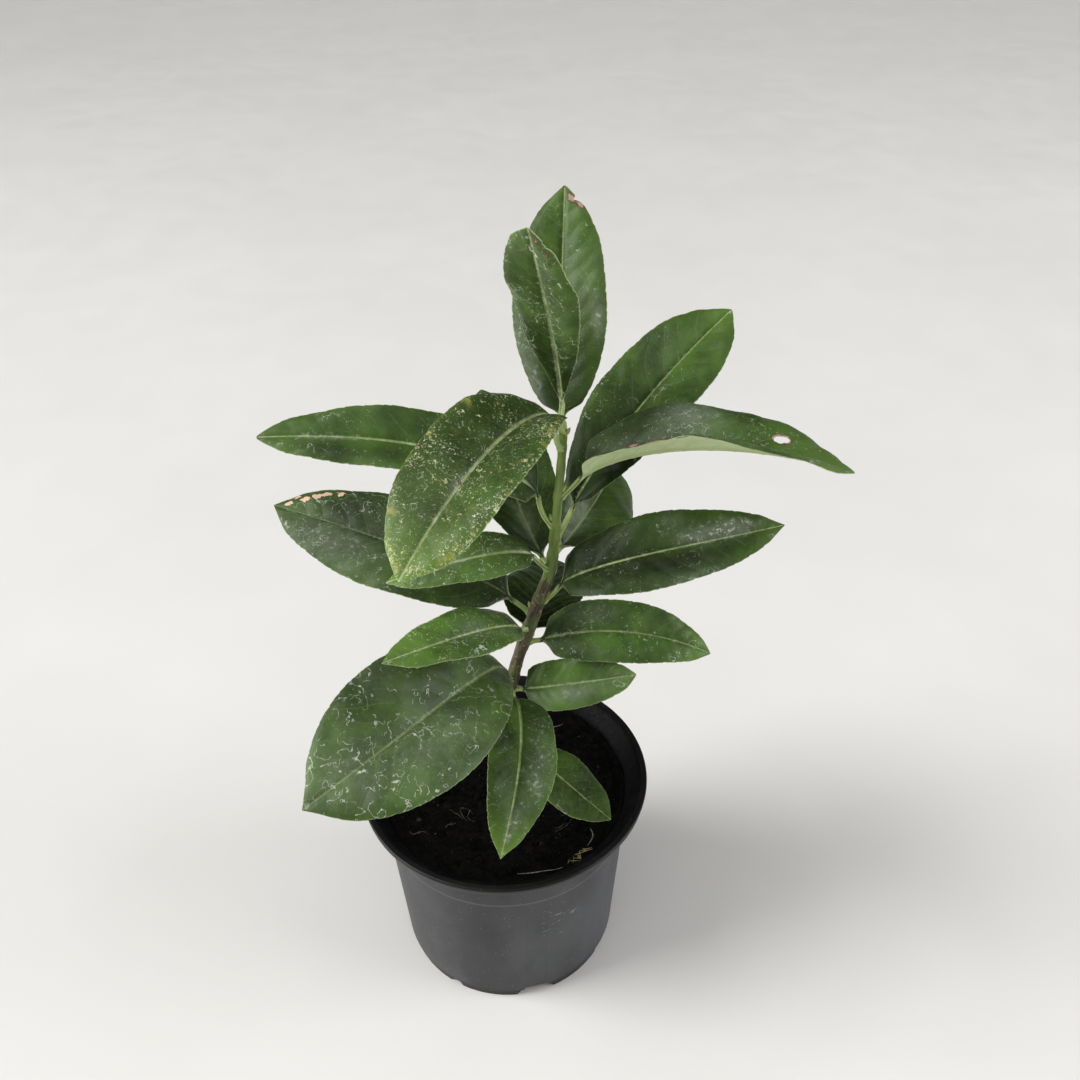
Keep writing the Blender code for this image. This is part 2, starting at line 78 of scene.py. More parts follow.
def heading_vectors(heading: Array | float, slope: Array | float) -> Array:
    """Unit vectors from headings and slopes.

    Args:
        heading: Degrees round from +X towards +Y.
        slope: Degrees above the level.

    Returns:
        One row of x, y, z for each pair.
    """
    turn = np.radians(heading)
    climb = np.radians(slope)
    level = np.cos(climb)
    return np.stack([level * np.cos(turn), level * np.sin(turn), np.sin(climb)], axis=-1)


def link_object(name: str, data: bpy.types.ID) -> Item:
    """Put data into the scene as an object at the origin.

    Args:
        name: The object's name.
        data: Its mesh, curve, light or camera.

    Returns:
        The object.
    """
    item = bpy.data.objects.new(name, data)
    bpy.context.scene.collection.objects.link(item)
    return item


def mesh_from_arrays(name: str, points: Array, faces: Sequence[Sequence[int]]) -> bpy.types.Mesh:
    """Make a smooth-shaded mesh in metres from points in millimetres.

    Args:
        name: The mesh's name.
        points: One row of x, y, z for each point.
        faces: Point numbers of each face.

    Returns:
        The mesh, with its faces turned outwards.
    """
    mesh = bpy.data.meshes.new(name)
    mesh.from_pydata((np.asarray(points) * MM).tolist(), [], [tuple(face) for face in faces])
    shape = bmesh.new()
    shape.from_mesh(mesh)
    bmesh.ops.recalc_face_normals(shape, faces=shape.faces)
    shape.to_mesh(mesh)
    shape.free()
    mesh.shade_smooth()
    return mesh


def store(mesh: bpy.types.Mesh, name: str, values: Array) -> None:
    """Keep one number for each point of a mesh as a named attribute."""
    layer = mesh.attributes.new(name, "FLOAT", "POINT")
    layer.data.foreach_set("value", np.asarray(values, dtype=np.float32).ravel())


def ring_faces(rings: int, count: int) -> list[Face]:
    """Faces of a tube of rings, with one face to close each end.

    Args:
        rings: How many rings follow each other.
        count: Points in a ring.

    Returns:
        The side faces, then the two end faces.
    """
    faces: list[Face] = []
    last = (rings - 1) * count
    for near in range(0, last, count):
        far = near + count
        for j in range(count):
            n = (j + 1) % count
            faces.append((near + j, far + j, far + n, near + n))
    return [*faces, tuple(range(count)), tuple(range(last, last + count))]


# Shader and geometry trees


class Graph:
    """Adds the nodes of one tree and joins them."""

    def __init__(self, tree: bpy.types.NodeTree) -> None:
        """Work on a tree."""
        self.tree = tree

    def put(self, socket: Socket, value: Any) -> None:
        """Join another node's socket to this one, or set its value.

        Args:
            socket: The input to feed.
            value: A node's output, a number, a vector or a colour.
        """
        if isinstance(value, bpy.types.NodeSocket):
            self.tree.links.new(value, socket)
        elif socket.type == "RGBA" and len(value) == 3:
            socket.default_value = (*value, 1.0)
        else:
            socket.default_value = value

    def add(self, kind: str, inputs: dict[str | int, Any] | None = None, **settings: Any) -> bpy.types.Node:
        """Add a node.

        Args:
            kind: The node's type name.
            inputs: Value or source for its inputs, by name or number.
            settings: The node's own options.

        Returns:
            The node.
        """
        node = self.tree.nodes.new(kind)
        for key, value in settings.items():
            setattr(node, key, value)
        for key, value in (inputs or {}).items():
            self.put(node.inputs[key], value)
        return node

    def math(self, operation: str, *values: Any, clamp: bool = False) -> Socket:
        """Result of a Math node."""
        inputs = dict(enumerate(values))
        return self.add("ShaderNodeMath", inputs, operation=operation, use_clamp=clamp).outputs[0]

    def vector(self, operation: str, *values: Any) -> bpy.types.Node:
        """A Vector Math node."""
        return self.add("ShaderNodeVectorMath", dict(enumerate(values)), operation=operation)

    def times(self, *values: Any) -> Socket:
        """Product of several values."""
        return reduce(lambda one, two: self.math("MULTIPLY", one, two), values)

    def step(self, value: Any, low: float, high: float, bottom: float = 0.0, top: float = 1.0) -> Socket:
        """Ease from bottom where value is low to top where it is high."""
        inputs = {"Value": value, "From Min": low, "From Max": high, "To Min": bottom, "To Max": top}
        return self.add("ShaderNodeMapRange", inputs, interpolation_type="SMOOTHSTEP").outputs[0]

    def mix(self, share: Any, first: Any, second: Any, kind: str = "MIX") -> Socket:
        """Blend of two colours."""
        node = self.add("ShaderNodeMix", {0: share, 6: first, 7: second}, data_type="RGBA", blend_type=kind)
        return node.outputs[2]

    def noise(self, place: Socket, scale: float, detail: float = 2.0, rough: float = 0.5) -> Socket:
        """Smooth noise from 0 to 1 at so many features a unit."""
        inputs = {"Vector": place, "Scale": scale, "Detail": detail, "Roughness": rough}
        return self.add("ShaderNodeTexNoise", inputs).outputs[0]

    def cells(self, place: Socket, scale: float, feature: str = "F1") -> bpy.types.Node:
        """A Voronoi node."""
        return self.add("ShaderNodeTexVoronoi", {"Vector": place, "Scale": scale}, feature=feature)

    def height(self, place: Socket) -> Socket:
        """The z value of a place."""
        return self.add("ShaderNodeSeparateXYZ", {0: place}).outputs[2]


class Finish(Graph):
    """One material: its tree, its shader and its coordinates."""

    def __init__(self, name: str) -> None:
        """Start a material with a bare shader.

        Args:
            name: The material's name.
        """
        self.material = bpy.data.materials.new(name)
        self.material.use_nodes = True
        super().__init__(self.material.node_tree)
        self.shader = self.tree.nodes["Principled BSDF"]
        self.place = self.add("ShaderNodeTexCoord").outputs["Object"]

    def grain(self, seed: float = 0.0, stretch: Sequence[float] = (1.0, 1.0, 1.0)) -> Socket:
        """The object's own coordinates in millimetres.

        Args:
            seed: Shift, so that patterns differ.
            stretch: Scale along x, y and z.

        Returns:
            The coordinates.
        """
        inputs = {
            "Vector": self.place,
            "Location": (seed, 1.7 * seed, -2.3 * seed),
            "Scale": tuple(side / MM for side in stretch),
        }
        return self.add("ShaderNodeMapping", inputs).outputs[0]

    def warped(self, place: Socket, scale: float, reach: float) -> Socket:
        """Coordinates pushed about by noise.

        Args:
            place: The coordinates.
            scale: Features of the noise in a unit.
            reach: About how far a place is pushed.

        Returns:
            The new coordinates.
        """
        inputs = {"Vector": place, "Scale": scale, "Detail": 2.0}
        push = self.add("ShaderNodeTexNoise", inputs).outputs["Color"]
        centred = self.vector("SUBTRACT", push, (0.5, 0.5, 0.5)).outputs[0]
        return self.vector("MULTIPLY_ADD", centred, (2 * reach, 2 * reach, 2 * reach), place).outputs[0]

    def attribute(self, name: str) -> Socket:
        """A number that the mesh keeps for each point."""
        return self.add("ShaderNodeAttribute", attribute_name=name).outputs["Fac"]

    def specks(self, place: Socket, scale: float, radius: float, share: Any) -> Socket:
        """Scattered small spots.

        Args:
            place: Coordinates.
            scale: Cells in a unit.
            radius: Measure of a spot's size in a cell.
            share: How many of the cells hold a spot.

        Returns:
            1 in a spot and 0 outside.
        """
        node = self.cells(place, scale)
        colour = self.add("ShaderNodeSeparateColor", {0: node.outputs["Color"]})
        held = self.math("LESS_THAN", colour.outputs[0], share)
        size = self.math("MULTIPLY_ADD", colour.outputs[1], radius, 0.4 * radius)
        inside = self.math("DIVIDE", node.outputs["Distance"], size)
        return self.times(self.step(inside, 1.0, 0.6), held)

    def finish(self, colour: Any, roughness: Any, bump: Socket, depth: float, gleam: float = 0.5) -> Material:
        """Join colour, roughness and bump to the shader.

        Args:
            colour: Base colour.
            roughness: How matt the surface is.
            bump: Height of the fine relief, from 0 to 1.
            depth: Millimetres from that relief's lowest to its highest.
            gleam: How strongly the surface mirrors light.

        Returns:
            The material.
        """
        relief = self.add("ShaderNodeBump", {"Height": bump, "Strength": 1.0, "Distance": depth * MM})
        self.put(self.shader.inputs["Base Color"], colour)
        self.put(self.shader.inputs["Roughness"], roughness)
        self.put(self.shader.inputs["Specular IOR Level"], gleam)
        self.put(self.shader.inputs["Normal"], relief.outputs[0])
        return self.material


class Growth(Graph):
    """A geometry tree with named inputs, run on an object and then made a plain mesh."""

    def __init__(self, name: str, sizes: dict[str, float | int]) -> None:
        """Start a tree.

        Args:
            name: The tree's name.
            sizes: Its inputs by name, whole numbers for counts and seeds.
        """
        super().__init__(bpy.data.node_groups.new(name, "GeometryNodeTree"))
        face = self.tree.interface
        face.new_socket("Geometry", in_out="INPUT", socket_type="NodeSocketGeometry")
        face.new_socket("Geometry", in_out="OUTPUT", socket_type="NodeSocketGeometry")
        self.sizes = sizes
        self.keys: dict[str, str] = {}
        for title, value in sizes.items():
            kind = "NodeSocketInt" if isinstance(value, int) else "NodeSocketFloat"
            self.keys[title] = face.new_socket(title, in_out="INPUT", socket_type=kind).identifier
        self.start = self.tree.nodes.new("NodeGroupInput")

    def size(self, title: str) -> Socket:
        """The socket of a named input."""
        return self.start.outputs[title]

    def where(self) -> Socket:
        """Each element's own place."""
        return self.add("GeometryNodeInputPosition").outputs[0]

    def scaled(self, vector: Any, factor: Any) -> Socket:
        """A vector times a number."""
        return self.add("ShaderNodeVectorMath", {0: vector, "Scale": factor}, operation="SCALE").outputs[0]

    def draw(self, low: Place, high: Place, seed: int) -> Socket:
        """A random vector between two corners for each element."""
        inputs = {0: low, 1: high, "Seed": seed}
        return self.add("FunctionNodeRandomValue", inputs, data_type="FLOAT_VECTOR").outputs[0]

    def stirred(self, scale: float, middle: Place) -> Socket:
        """Noise vector at each element's place, less a middle value."""
        cloud = self.add("ShaderNodeTexNoise", {"Vector": self.where(), "Scale": scale, "Detail": 1.0})
        return self.vector("SUBTRACT", cloud.outputs["Color"], middle).outputs[0]

    def circle(self, sides: Any, radius: Any) -> Socket:
        """A circle to sweep along a path."""
        inputs = {"Resolution": sides, "Radius": radius}
        return self.add("GeometryNodeCurvePrimitiveCircle", inputs).outputs[0]

    def tube(self, path: Socket, ring: Socket, scale: Any = 1.0, closed: bool = True) -> Socket:
        """A ring swept along a path, with its ends closed or open."""
        inputs = {"Curve": path, "Profile Curve": ring, "Scale": scale, "Fill Caps": closed}
        return self.add("GeometryNodeCurveToMesh", inputs).outputs[0]

    def strew(self, surface: Socket, chosen: Any = True) -> bpy.types.Node:
        """Points strewn over the chosen faces, at the tree's own density and seed."""
        inputs = {"Mesh": surface, "Selection": chosen, "Seed": self.size("Seed")}
        return self.add("GeometryNodeDistributePointsOnFaces", {**inputs, "Density": self.size("Density")})

    def ball(self, levels: int) -> Socket:
        """A ball of radius 1 with so many levels of faces."""
        return self.add("GeometryNodeMeshIcoSphere", {"Radius": 1.0, "Subdivisions": levels}).outputs[0]

    def lay(self, points: Socket, thing: Socket, turn: Socket, scale: Socket) -> Socket:
        """Copies of a thing on points, each with its turn and scale."""
        inputs = {"Points": points, "Instance": thing, "Rotation": turn, "Scale": scale}
        return self.add("GeometryNodeInstanceOnPoints", inputs).outputs[0]

    def real(self, copies: Socket) -> Socket:
        """Copies made into geometry of their own."""
        return self.add("GeometryNodeRealizeInstances", {"Geometry": copies}).outputs[0]

    def pushed(self, shape: Socket, offset: Socket) -> Socket:
        """A shape whose points are moved by an offset."""
        return self.add("GeometryNodeSetPosition", {"Geometry": shape, "Offset": offset}).outputs[0]

    def grow(self, carrier: Item, piece: str, shape: Socket, material: Material) -> Item:
        """Close the tree, run it on a carrier, and keep the result as a plain mesh.

        Args:
            carrier: Object whose geometry goes into the tree; it is removed.
            piece: Name of the new object.
            shape: Geometry that the tree has made.
            material: What the new mesh is made of.

        Returns:
            The new object.
        """
        inputs = {"Geometry": self.real(shape), "Material": material}
        dressed = self.add("GeometryNodeSetMaterial", inputs).outputs[0]
        self.tree.links.new(dressed, self.tree.nodes.new("NodeGroupOutput").inputs[0])
        modifier = carrier.modifiers.new(piece, "NODES")
        modifier.node_group = self.tree
        for title, key in self.keys.items():
            modifier[key] = self.sizes[title]
        graph = bpy.context.evaluated_depsgraph_get()
        mesh = bpy.data.meshes.new_from_object(carrier.evaluated_get(graph), depsgraph=graph)
        mesh.name = piece
        mesh.materials.clear()
        mesh.materials.append(material)
        carrier.modifiers.remove(modifier)
        bpy.data.objects.remove(carrier, do_unlink=True)
        mesh.shade_smooth()
        return link_object(piece, mesh)


# Pot


@dataclass(frozen=True)
class PotPlastic:
    """Black moulded plastic, dusty and lightly scuffed."""

    black: Colour = (0.0030, 0.0031, 0.0034)
    charcoal: Colour = (0.0075, 0.0078, 0.0084)
    dust: Colour = (0.150, 0.155, 0.166)
    chalk: Colour = (0.36, 0.37, 0.36)
    scuff_place: Place = (24.0, -49.0, 57.0)
    scuff_reach: float = 17.0
    ring_height: float = 76.0
    skin_line: Pair = (0.0661, 49.93)

    def make(self) -> Material:
        """Build the material.

        Returns:
            The material.
        """
        g = Finish("pot_plastic_dusty")
        p = g.grain()
        up = g.height(p)
        far = g.vector("LENGTH", g.vector("MULTIPLY", p, (1.0, 1.0, 0.0)).outputs[0]).outputs["Value"]
        outside = g.step(g.math("SUBTRACT", far, g.math("MULTIPLY_ADD", up, *self.skin_line)), -0.3, 0.3)
        wall = g.times(g.step(up, 4.5, 6.5), g.step(up, 97.0, 92.0), outside)
        colour = g.mix(g.step(g.noise(p, 0.045, 3.0), 0.35, 0.68), self.black, self.charcoal)
        film = g.times(g.step(g.noise(g.grain(3.0, (1.0, 1.0, 0.5)), 0.028, 5.0, 0.6), 0.38, 0.66), wall)
        fine = g.noise(p, 1.1, 4.0, 0.7)
        film = g.math("ADD", g.times(film, 0.55), g.times(wall, 0.45))
        film = g.times(film, g.step(fine, 0.25, 0.75, 0.55, 1.0))
        cloud = g.step(g.noise(g.grain(5.0), 0.016, 3.0, 0.6), 0.40, 0.62, 0.42, 0.56)
        colour = g.mix(g.times(film, cloud), colour, self.dust)
        ring = g.step(g.math("ABSOLUTE", g.math("SUBTRACT", up, self.ring_height)), 0.7, 0.2)
        colour = g.mix(g.times(ring, wall, 0.16), colour, self.chalk)
        specks = g.specks(p, 0.55, 0.13, 0.42)
        colour = g.mix(g.times(specks, g.step(up, 97.5, 99.0, 0.55, 0.12)), colour, self.chalk)
        near = g.vector("DISTANCE", p, self.scuff_place).outputs["Value"]
        streak = g.noise(g.warped(g.grain(9.0, (0.35, 0.35, 1.0)), 0.2, 1.5), 0.55, 4.0, 0.6)
        scuff = g.times(g.step(streak, 0.585, 0.66), g.step(near, self.scuff_reach, 3.0), wall)
        colour = g.mix(g.times(scuff, 0.85), colour, self.chalk)
        rough = g.math("ADD", g.step(fine, 0.2, 0.8, 0.34, 0.46), g.times(film, 0.12))
        rough = g.math("ADD", rough, g.times(scuff, 0.2))
        relief = g.math("ADD", g.noise(p, 2.4, 3.0, 0.6), g.times(g.noise(p, 0.11, 2.0), 1.5))
        return g.finish(colour, rough, relief, 0.035, 0.24)


@dataclass(frozen=True)
class DarkPlastic:
    """The same plastic inside the pot, clean and matt."""

    black: Colour = (0.0022, 0.0022, 0.0024)
    worn: Colour = (0.0050, 0.0050, 0.0054)

    def make(self) -> Material:
        """Build the material.

        Returns:
            The material.
        """
        g = Finish("pot_plastic_inside")
        p = g.grain(2.0)
        colour = g.mix(g.step(g.noise(p, 0.12, 4.0, 0.65), 0.4, 0.7), self.black, self.worn)
        rough = g.step(g.noise(p, 0.8, 3.0), 0.3, 0.7, 0.5, 0.65)
        return g.finish(colour, rough, g.noise(p, 2.4, 3.0, 0.6), 0.03, 0.08)


@dataclass
class Pot:
    """Round nursery pot: a turned shell with a rolled lip, and drain notches in its foot."""

    rim_radius: float = 65.0
    height: float = 99.0
    foot_radius: float = 49.8
    foot_band: float = 4.8
    wall_foot: float = 50.9
    wall_top: Pair = (56.6, 91.0)
    wall: float = 1.3
    sides: int = 180
    round_steps: int = 3
    sharp: float = 32.0
    notches: int = 8
    first_notch: float = -120.0
    low_notch: Pair = (7.0, 3.0)
    high_notch: Pair = (18.5, 6.8)
    notch_taper: float = 0.55
    notch_inner: float = 45.0
    facing_in: float = 0.15
    plastic: PotPlastic = field(default_factory=PotPlastic)
    dark: DarkPlastic = field(default_factory=DarkPlastic)

    def wall_radius(self, height: Array | float) -> Array | float:
        """Outer radius of the tapered wall at a height."""
        share = (height - self.foot_band) / (self.wall_top[1] - self.foot_band)
        return self.wall_foot + share * (self.wall_top[0] - self.wall_foot)

    def section(self) -> list[Place]:
        """Corners of the half section.

        Returns:
            Radius, height and how round the corner is, for each.
        """
        floor = 2.5 + self.wall
        top_in = self.wall_top[0] - self.wall
        foot_in = float(self.wall_radius(floor)) - self.wall
        return [
            (26.0, 0.0, 0.5),
            (28.0, 2.5, 0.6),
            (42.8, 2.5, 0.6),
            (44.8, 0.0, 0.4),
            (self.foot_radius, 0.0, 0.5),
            (self.foot_radius + 0.3, self.foot_band - 0.6, 0.4),
            (self.wall_foot, self.foot_band, 0.4),
            (*self.wall_top, 2.0),
            (self.wall_top[0] + 2.2, self.wall_top[1] + 3.2, 2.0),
            (61.0, 97.0, 1.0),
            (63.7, 97.7, 0.4),
            (63.4, 95.5, 0.25),
            (64.4, 95.5, 0.35),
            (self.rim_radius, self.height - 0.6, 0.45),
            (self.rim_radius - 0.6, self.height, 0.4),
            (self.rim_radius - 3.0, self.height, 0.6),
            (60.8, 98.4, 0.8),
            (57.5, 94.8, 2.0),
            (top_in, 91.6, 1.6),
            (foot_in, floor + 0.6, 0.5),
            (foot_in - 0.6, floor, 0.4),
            (26.6, floor, 1.0),
            (25.4, self.wall, 0.8),
        ]

    def rounded(self) -> list[Pair]:
        """The half section with each corner turned into a short arc.

        Returns:
            Radius and height of its points.
        """
        corners = self.section()
        points: list[Pair] = []
        for k, (x, z, reach) in enumerate(corners):
            here = Vector((x, z))
            if k in (0, len(corners) - 1):
                points.append((x, z))
                continue
            before = Vector(corners[k - 1][:2]) - here
            after = Vector(corners[k + 1][:2]) - here
            trim = min(reach, 0.45 * before.length, 0.45 * after.length)
            start = here + before.normalized() * trim
            end = here + after.normalized() * trim
            for n in range(self.round_steps + 1):
                t = n / self.round_steps
                place = start * (1 - t) ** 2 + here * (2 * t * (1 - t)) + end * t**2
                points.append((place.x, place.y))
        return points

    def notch_cutter(self, angle: float, width: float, height: float) -> Item:
        """Wedge-sided block that cuts one notch.

        Args:
            angle: Degrees round the pot.
            width: The notch's width at the foot.
            height: How far up it goes.

        Returns:
            The block.
        """
        low = width / 2.0
        high = low * self.notch_taper
        brow = low * 0.96
        outline = [(-low, -1.0), (low, -1.0), (brow, 0.6), (high, height), (-high, height), (-brow, 0.6)]
        points = [(self.notch_inner, y, z) for y, z in outline]
        points += [(self.foot_radius + 5.0, y, z) for y, z in outline]
        turn = np.array(Matrix.Rotation(math.radians(angle), 3, "Z"))
        mesh = mesh_from_arrays("notch_cutter", np.array(points) @ turn.T, ring_faces(2, len(outline)))
        return link_object("notch_cutter", mesh)

    def build(self) -> Pieces:
        """Turn the shell and cut its notches.

        Returns:
            The piece, its material slot and the node that it stands for.
        """
        section = self.rounded()
        angles = np.linspace(0.0, 2.0 * math.pi, self.sides, endpoint=False)
        rows = [
            np.stack([radius * np.cos(angles), radius * np.sin(angles), np.full(self.sides, z)], axis=-1)
            for radius, z in section
        ]
        mesh = mesh_from_arrays("pot_shell", np.concatenate(rows), ring_faces(len(rows), self.sides))
        pot = link_object("pot_shell", mesh)
        for k in range(self.notches):
            width, height = self.low_notch if k % 2 == 0 else self.high_notch
            cutter = self.notch_cutter(self.first_notch + k * 360.0 / self.notches, width, height)
            modifier = pot.modifiers.new("notch", "BOOLEAN")
            modifier.operation = "DIFFERENCE"
            modifier.solver = "EXACT"
            modifier.object = cutter
            bpy.context.view_layer.objects.active = pot
            bpy.ops.object.modifier_apply(modifier=modifier.name)
            bpy.data.objects.remove(cutter, do_unlink=True)
        pot.data.shade_smooth()
        pot.data.set_sharp_from_angle(angle=math.radians(self.sharp))
        pot.data.materials.clear()
        pot.data.materials.append(self.plastic.make())
        pot.data.materials.append(self.dark.make())
        for face in pot.data.polygons:
            inward = -face.normal.to_2d().dot(face.center.to_2d().normalized())
            face.material_index = int(inward > self.facing_in and face.center.z > self.foot_band * MM)
        return [(pot, "pot_plastic", "pot")]


# Soil


@dataclass(frozen=True)
class Peat:
    """Dark moist peat."""

    black: Colour = (0.0016, 0.0014, 0.0013)
    brown: Colour = (0.0050, 0.0042, 0.0038)
    pale: Colour = (0.045, 0.043, 0.040)

    def make(self) -> Material:
        """Build the material.

        Returns:
            The material.
        """
        g = Finish("peat_moist")
        p = g.grain()
        colour = g.mix(g.step(g.noise(p, 0.22, 4.0, 0.65), 0.38, 0.68), self.black, self.brown)
        colour = g.mix(g.times(g.step(g.noise(p, 1.5, 4.0, 0.7), 0.45, 0.75), 0.5), colour, self.black)
        colour = g.mix(g.times(g.specks(g.warped(p, 0.5, 0.4), 0.33, 0.10, 0.3), 0.6), colour, self.pale)
        relief = g.math("ADD", g.noise(p, 1.6, 5.0, 0.7), g.times(g.noise(p, 5.0, 2.0), 0.3))
        return g.finish(colour, g.step(g.noise(p, 0.6, 3.0), 0.3, 0.7, 0.72, 1.0), relief, 0.7, 0.06)


@dataclass(frozen=True)
class Crumb:
    """Loose crumbs of peat and bark, each with its own tone."""

    dark: Colour = (0.0022, 0.0018, 0.0016)
    brown: Colour = (0.0110, 0.0080, 0.0062)
    tan: Colour = (0.062, 0.050, 0.038)

    def make(self) -> Material:
        """Build the material.

        Returns:
            The material.
        """
        g = Finish("peat_crumbs")
        tone = g.attribute("tone")
        p = g.grain(5.0)
        colour = g.mix(g.step(tone, 0.86, 0.97), self.dark, self.brown)
        colour = g.mix(g.step(tone, 0.985, 0.990), colour, self.tan)
        colour = g.mix(g.times(g.step(g.noise(p, 1.8, 3.0, 0.6), 0.4, 0.7), 0.45), colour, self.dark)
        return g.finish(colour, 0.92, g.noise(p, 3.0, 4.0, 0.7), 0.3, 0.06)


@dataclass(frozen=True)
class Fibre:
    """Dry root fibre or straw."""

    name: str = "fibre_dry"
    shade: Colour = (0.045, 0.036, 0.026)
    light: Colour = (0.150, 0.125, 0.085)

    def make(self) -> Material:
        """Build the material.

        Returns:
            The material.
        """
        g = Finish(self.name)
        p = g.grain(7.0)
        colour = g.mix(g.step(g.noise(p, 0.35, 4.0, 0.6), 0.35, 0.65), self.shade, self.light)
        return g.finish(colour, 0.8, g.noise(p, 4.0, 3.0), 0.05)


@dataclass
class Soil:
    """Peat that fills the pot: a lumpy bed, loose crumbs, root fibres and a tuft of dry straw."""

    pot: Pot
    top: float = 90.0
    lump: float = 1.6
    lump_spacing: float = 9.0
    slice: float = 0.37
    clod_spacing: float = 3.4
    grit: float = 0.55
    grit_spacing: float = 1.6
    rings: int = 96
    sides: int = 200
    stem_hole: Place = (-2.0, -7.0, 3.15)
    hole_floor: float = 51.7
    floor: float = 4.1
    floor_radius: float = 48.4
    bed_steps: int = 60
    peat: Peat = field(default_factory=Peat)
    crumb: Crumb = field(default_factory=Crumb)
    fibre: Fibre = field(default_factory=Fibre)

    def lump_at(self, x: float, y: float) -> float:
        """Height of the surface above its mean, from large lumps down to grit.

        Args:
            x: Place to the right.
            y: Place towards the back.

        Returns:
            The height.
        """
        size, clod, grit = self.lump_spacing, self.clod_spacing, self.grit_spacing
        height = self.lump * noise.noise(Vector((x / size, y / size, self.slice)))
        height += noise.noise(Vector((x / clod, y / clod, 4.0)))
        height += self.grit * abs(noise.noise(Vector((x / grit, y / grit, 9.0))))
        return height

    def bed(self) -> Item:
        """Closed body of soil under a displaced surface.

        Returns:
            The body.
        """
        radius = float(self.pot.wall_radius(self.top)) - self.pot.wall - 0.05
        hole_x, hole_y, hole = self.stem_hole
        rings = [(hole_x, hole_y, hole, self.hole_floor, False)]
        for k in range(self.rings + 1):
            share = k / self.rings
            middle = (hole_x * (1 - share), hole_y * (1 - share))
            rings.append((*middle, hole + share * (radius - hole), self.top, True))
        rings.append((0.0, 0.0, self.floor_radius, self.floor, False))
        rows = []
        for cx, cy, reach, z, lumpy in rings:
            for angle in np.linspace(0.0, 2.0 * math.pi, self.sides, endpoint=False):
                x = cx + reach * math.cos(angle)
                y = cy + reach * math.sin(angle)
                edge = smooth(math.hypot(x, y), radius - 3.0, radius)
                lift = self.lump_at(x, y) + 0.5 * edge if lumpy else 0.0
                rows.append((x, y, z + lift))
        mesh = mesh_from_arrays("soil_bed", np.array(rows), ring_faces(len(rings), self.sides))
        mesh.materials.append(self.peat.make())
        return link_object("soil_bed", mesh)

    def surface(self, name: str, margin: float) -> Item:
        """Open copy of the soil's surface, for things to lie on.

        Args:
            name: Name of the copy.
            margin: How far it stays from the wall.

        Returns:
            The copy.
        """
        reach = float(self.pot.wall_radius(self.top)) - self.pot.wall - margin
        steps = self.bed_steps
        points = []
        for k in range(steps + 1):
            for n in range(steps + 1):
                x = reach * (2.0 * k / steps - 1.0)
                y = reach * (2.0 * n / steps - 1.0)
                points.append((x, y, self.top + self.lump_at(x, y)))
        faces = []
        for k in range(steps):
            for n in range(steps):
                x = reach * (2.0 * (k + 0.5) / steps - 1.0)
                y = reach * (2.0 * (n + 0.5) / steps - 1.0)
                if math.hypot(x, y) < reach - 1.0:
                    a = k * (steps + 1) + n
                    faces.append((a, a + steps + 1, a + steps + 2, a + 1))
        mesh = bpy.data.meshes.new(name)
        mesh.from_pydata((np.array(points) * MM).tolist(), [], faces)
        return link_object(name, mesh)

    def crumbs(self, piece: str, per_mm2: float, small: float, large: float, seed: int, levels: int) -> Item:
        """Loose crumbs strewn over the surface.

        Args:
            piece: Name of the new object.
            per_mm2: Crumbs on each square millimetre.
            small: Radius of the smallest crumb.
            large: Radius of the largest crumb.
            seed: Number that the draw starts from.
            levels: Levels of faces of a crumb.

        Returns:
            The crumbs as one object.
        """
        sizes = {"Density": per_mm2 / MM**2, "Smallest": small * MM, "Largest": large * MM}
        g = Growth(piece, {**sizes, "Roughness": 0.45, "Seed": seed})
        strewn = g.strew(g.start.outputs[0]).outputs["Points"]
        drawn = g.add("FunctionNodeRandomValue", {"Seed": g.size("Seed")}, data_type="FLOAT").outputs[1]
        spread = g.math("SUBTRACT", g.size("Largest"), g.size("Smallest"))
        radius = g.math("MULTIPLY_ADD", g.math("POWER", drawn, 3.0), spread, g.size("Smallest"))
        scale = g.scaled(g.draw((0.7, 0.7, 0.45), (1.35, 1.2, 0.9), 3), radius)
        spin = g.draw((0.0, 0.0, 0.0), (6.283, 6.283, 6.283), 7)
        turn = g.add("FunctionNodeEulerToRotation", {0: spin}).outputs[0]
        laid = g.lay(strewn, g.ball(levels), turn, scale)
        tone = g.add("FunctionNodeRandomValue", {"Seed": 11}, data_type="FLOAT").outputs[1]
        inputs = {"Geometry": laid, "Name": "tone", "Value": tone}
        toned = g.add("GeometryNodeStoreNamedAttribute", inputs, domain="INSTANCE").outputs[0]
        deepest = g.math("MULTIPLY", g.size("Largest"), g.size("Roughness"))
        bent = g.pushed(g.real(toned), g.scaled(g.stirred(900.0, (0.5, 0.5, 0.5)), deepest))
        return g.grow(self.surface(piece + "_bed", 1.2 + large), piece, bent, self.crumb.make())

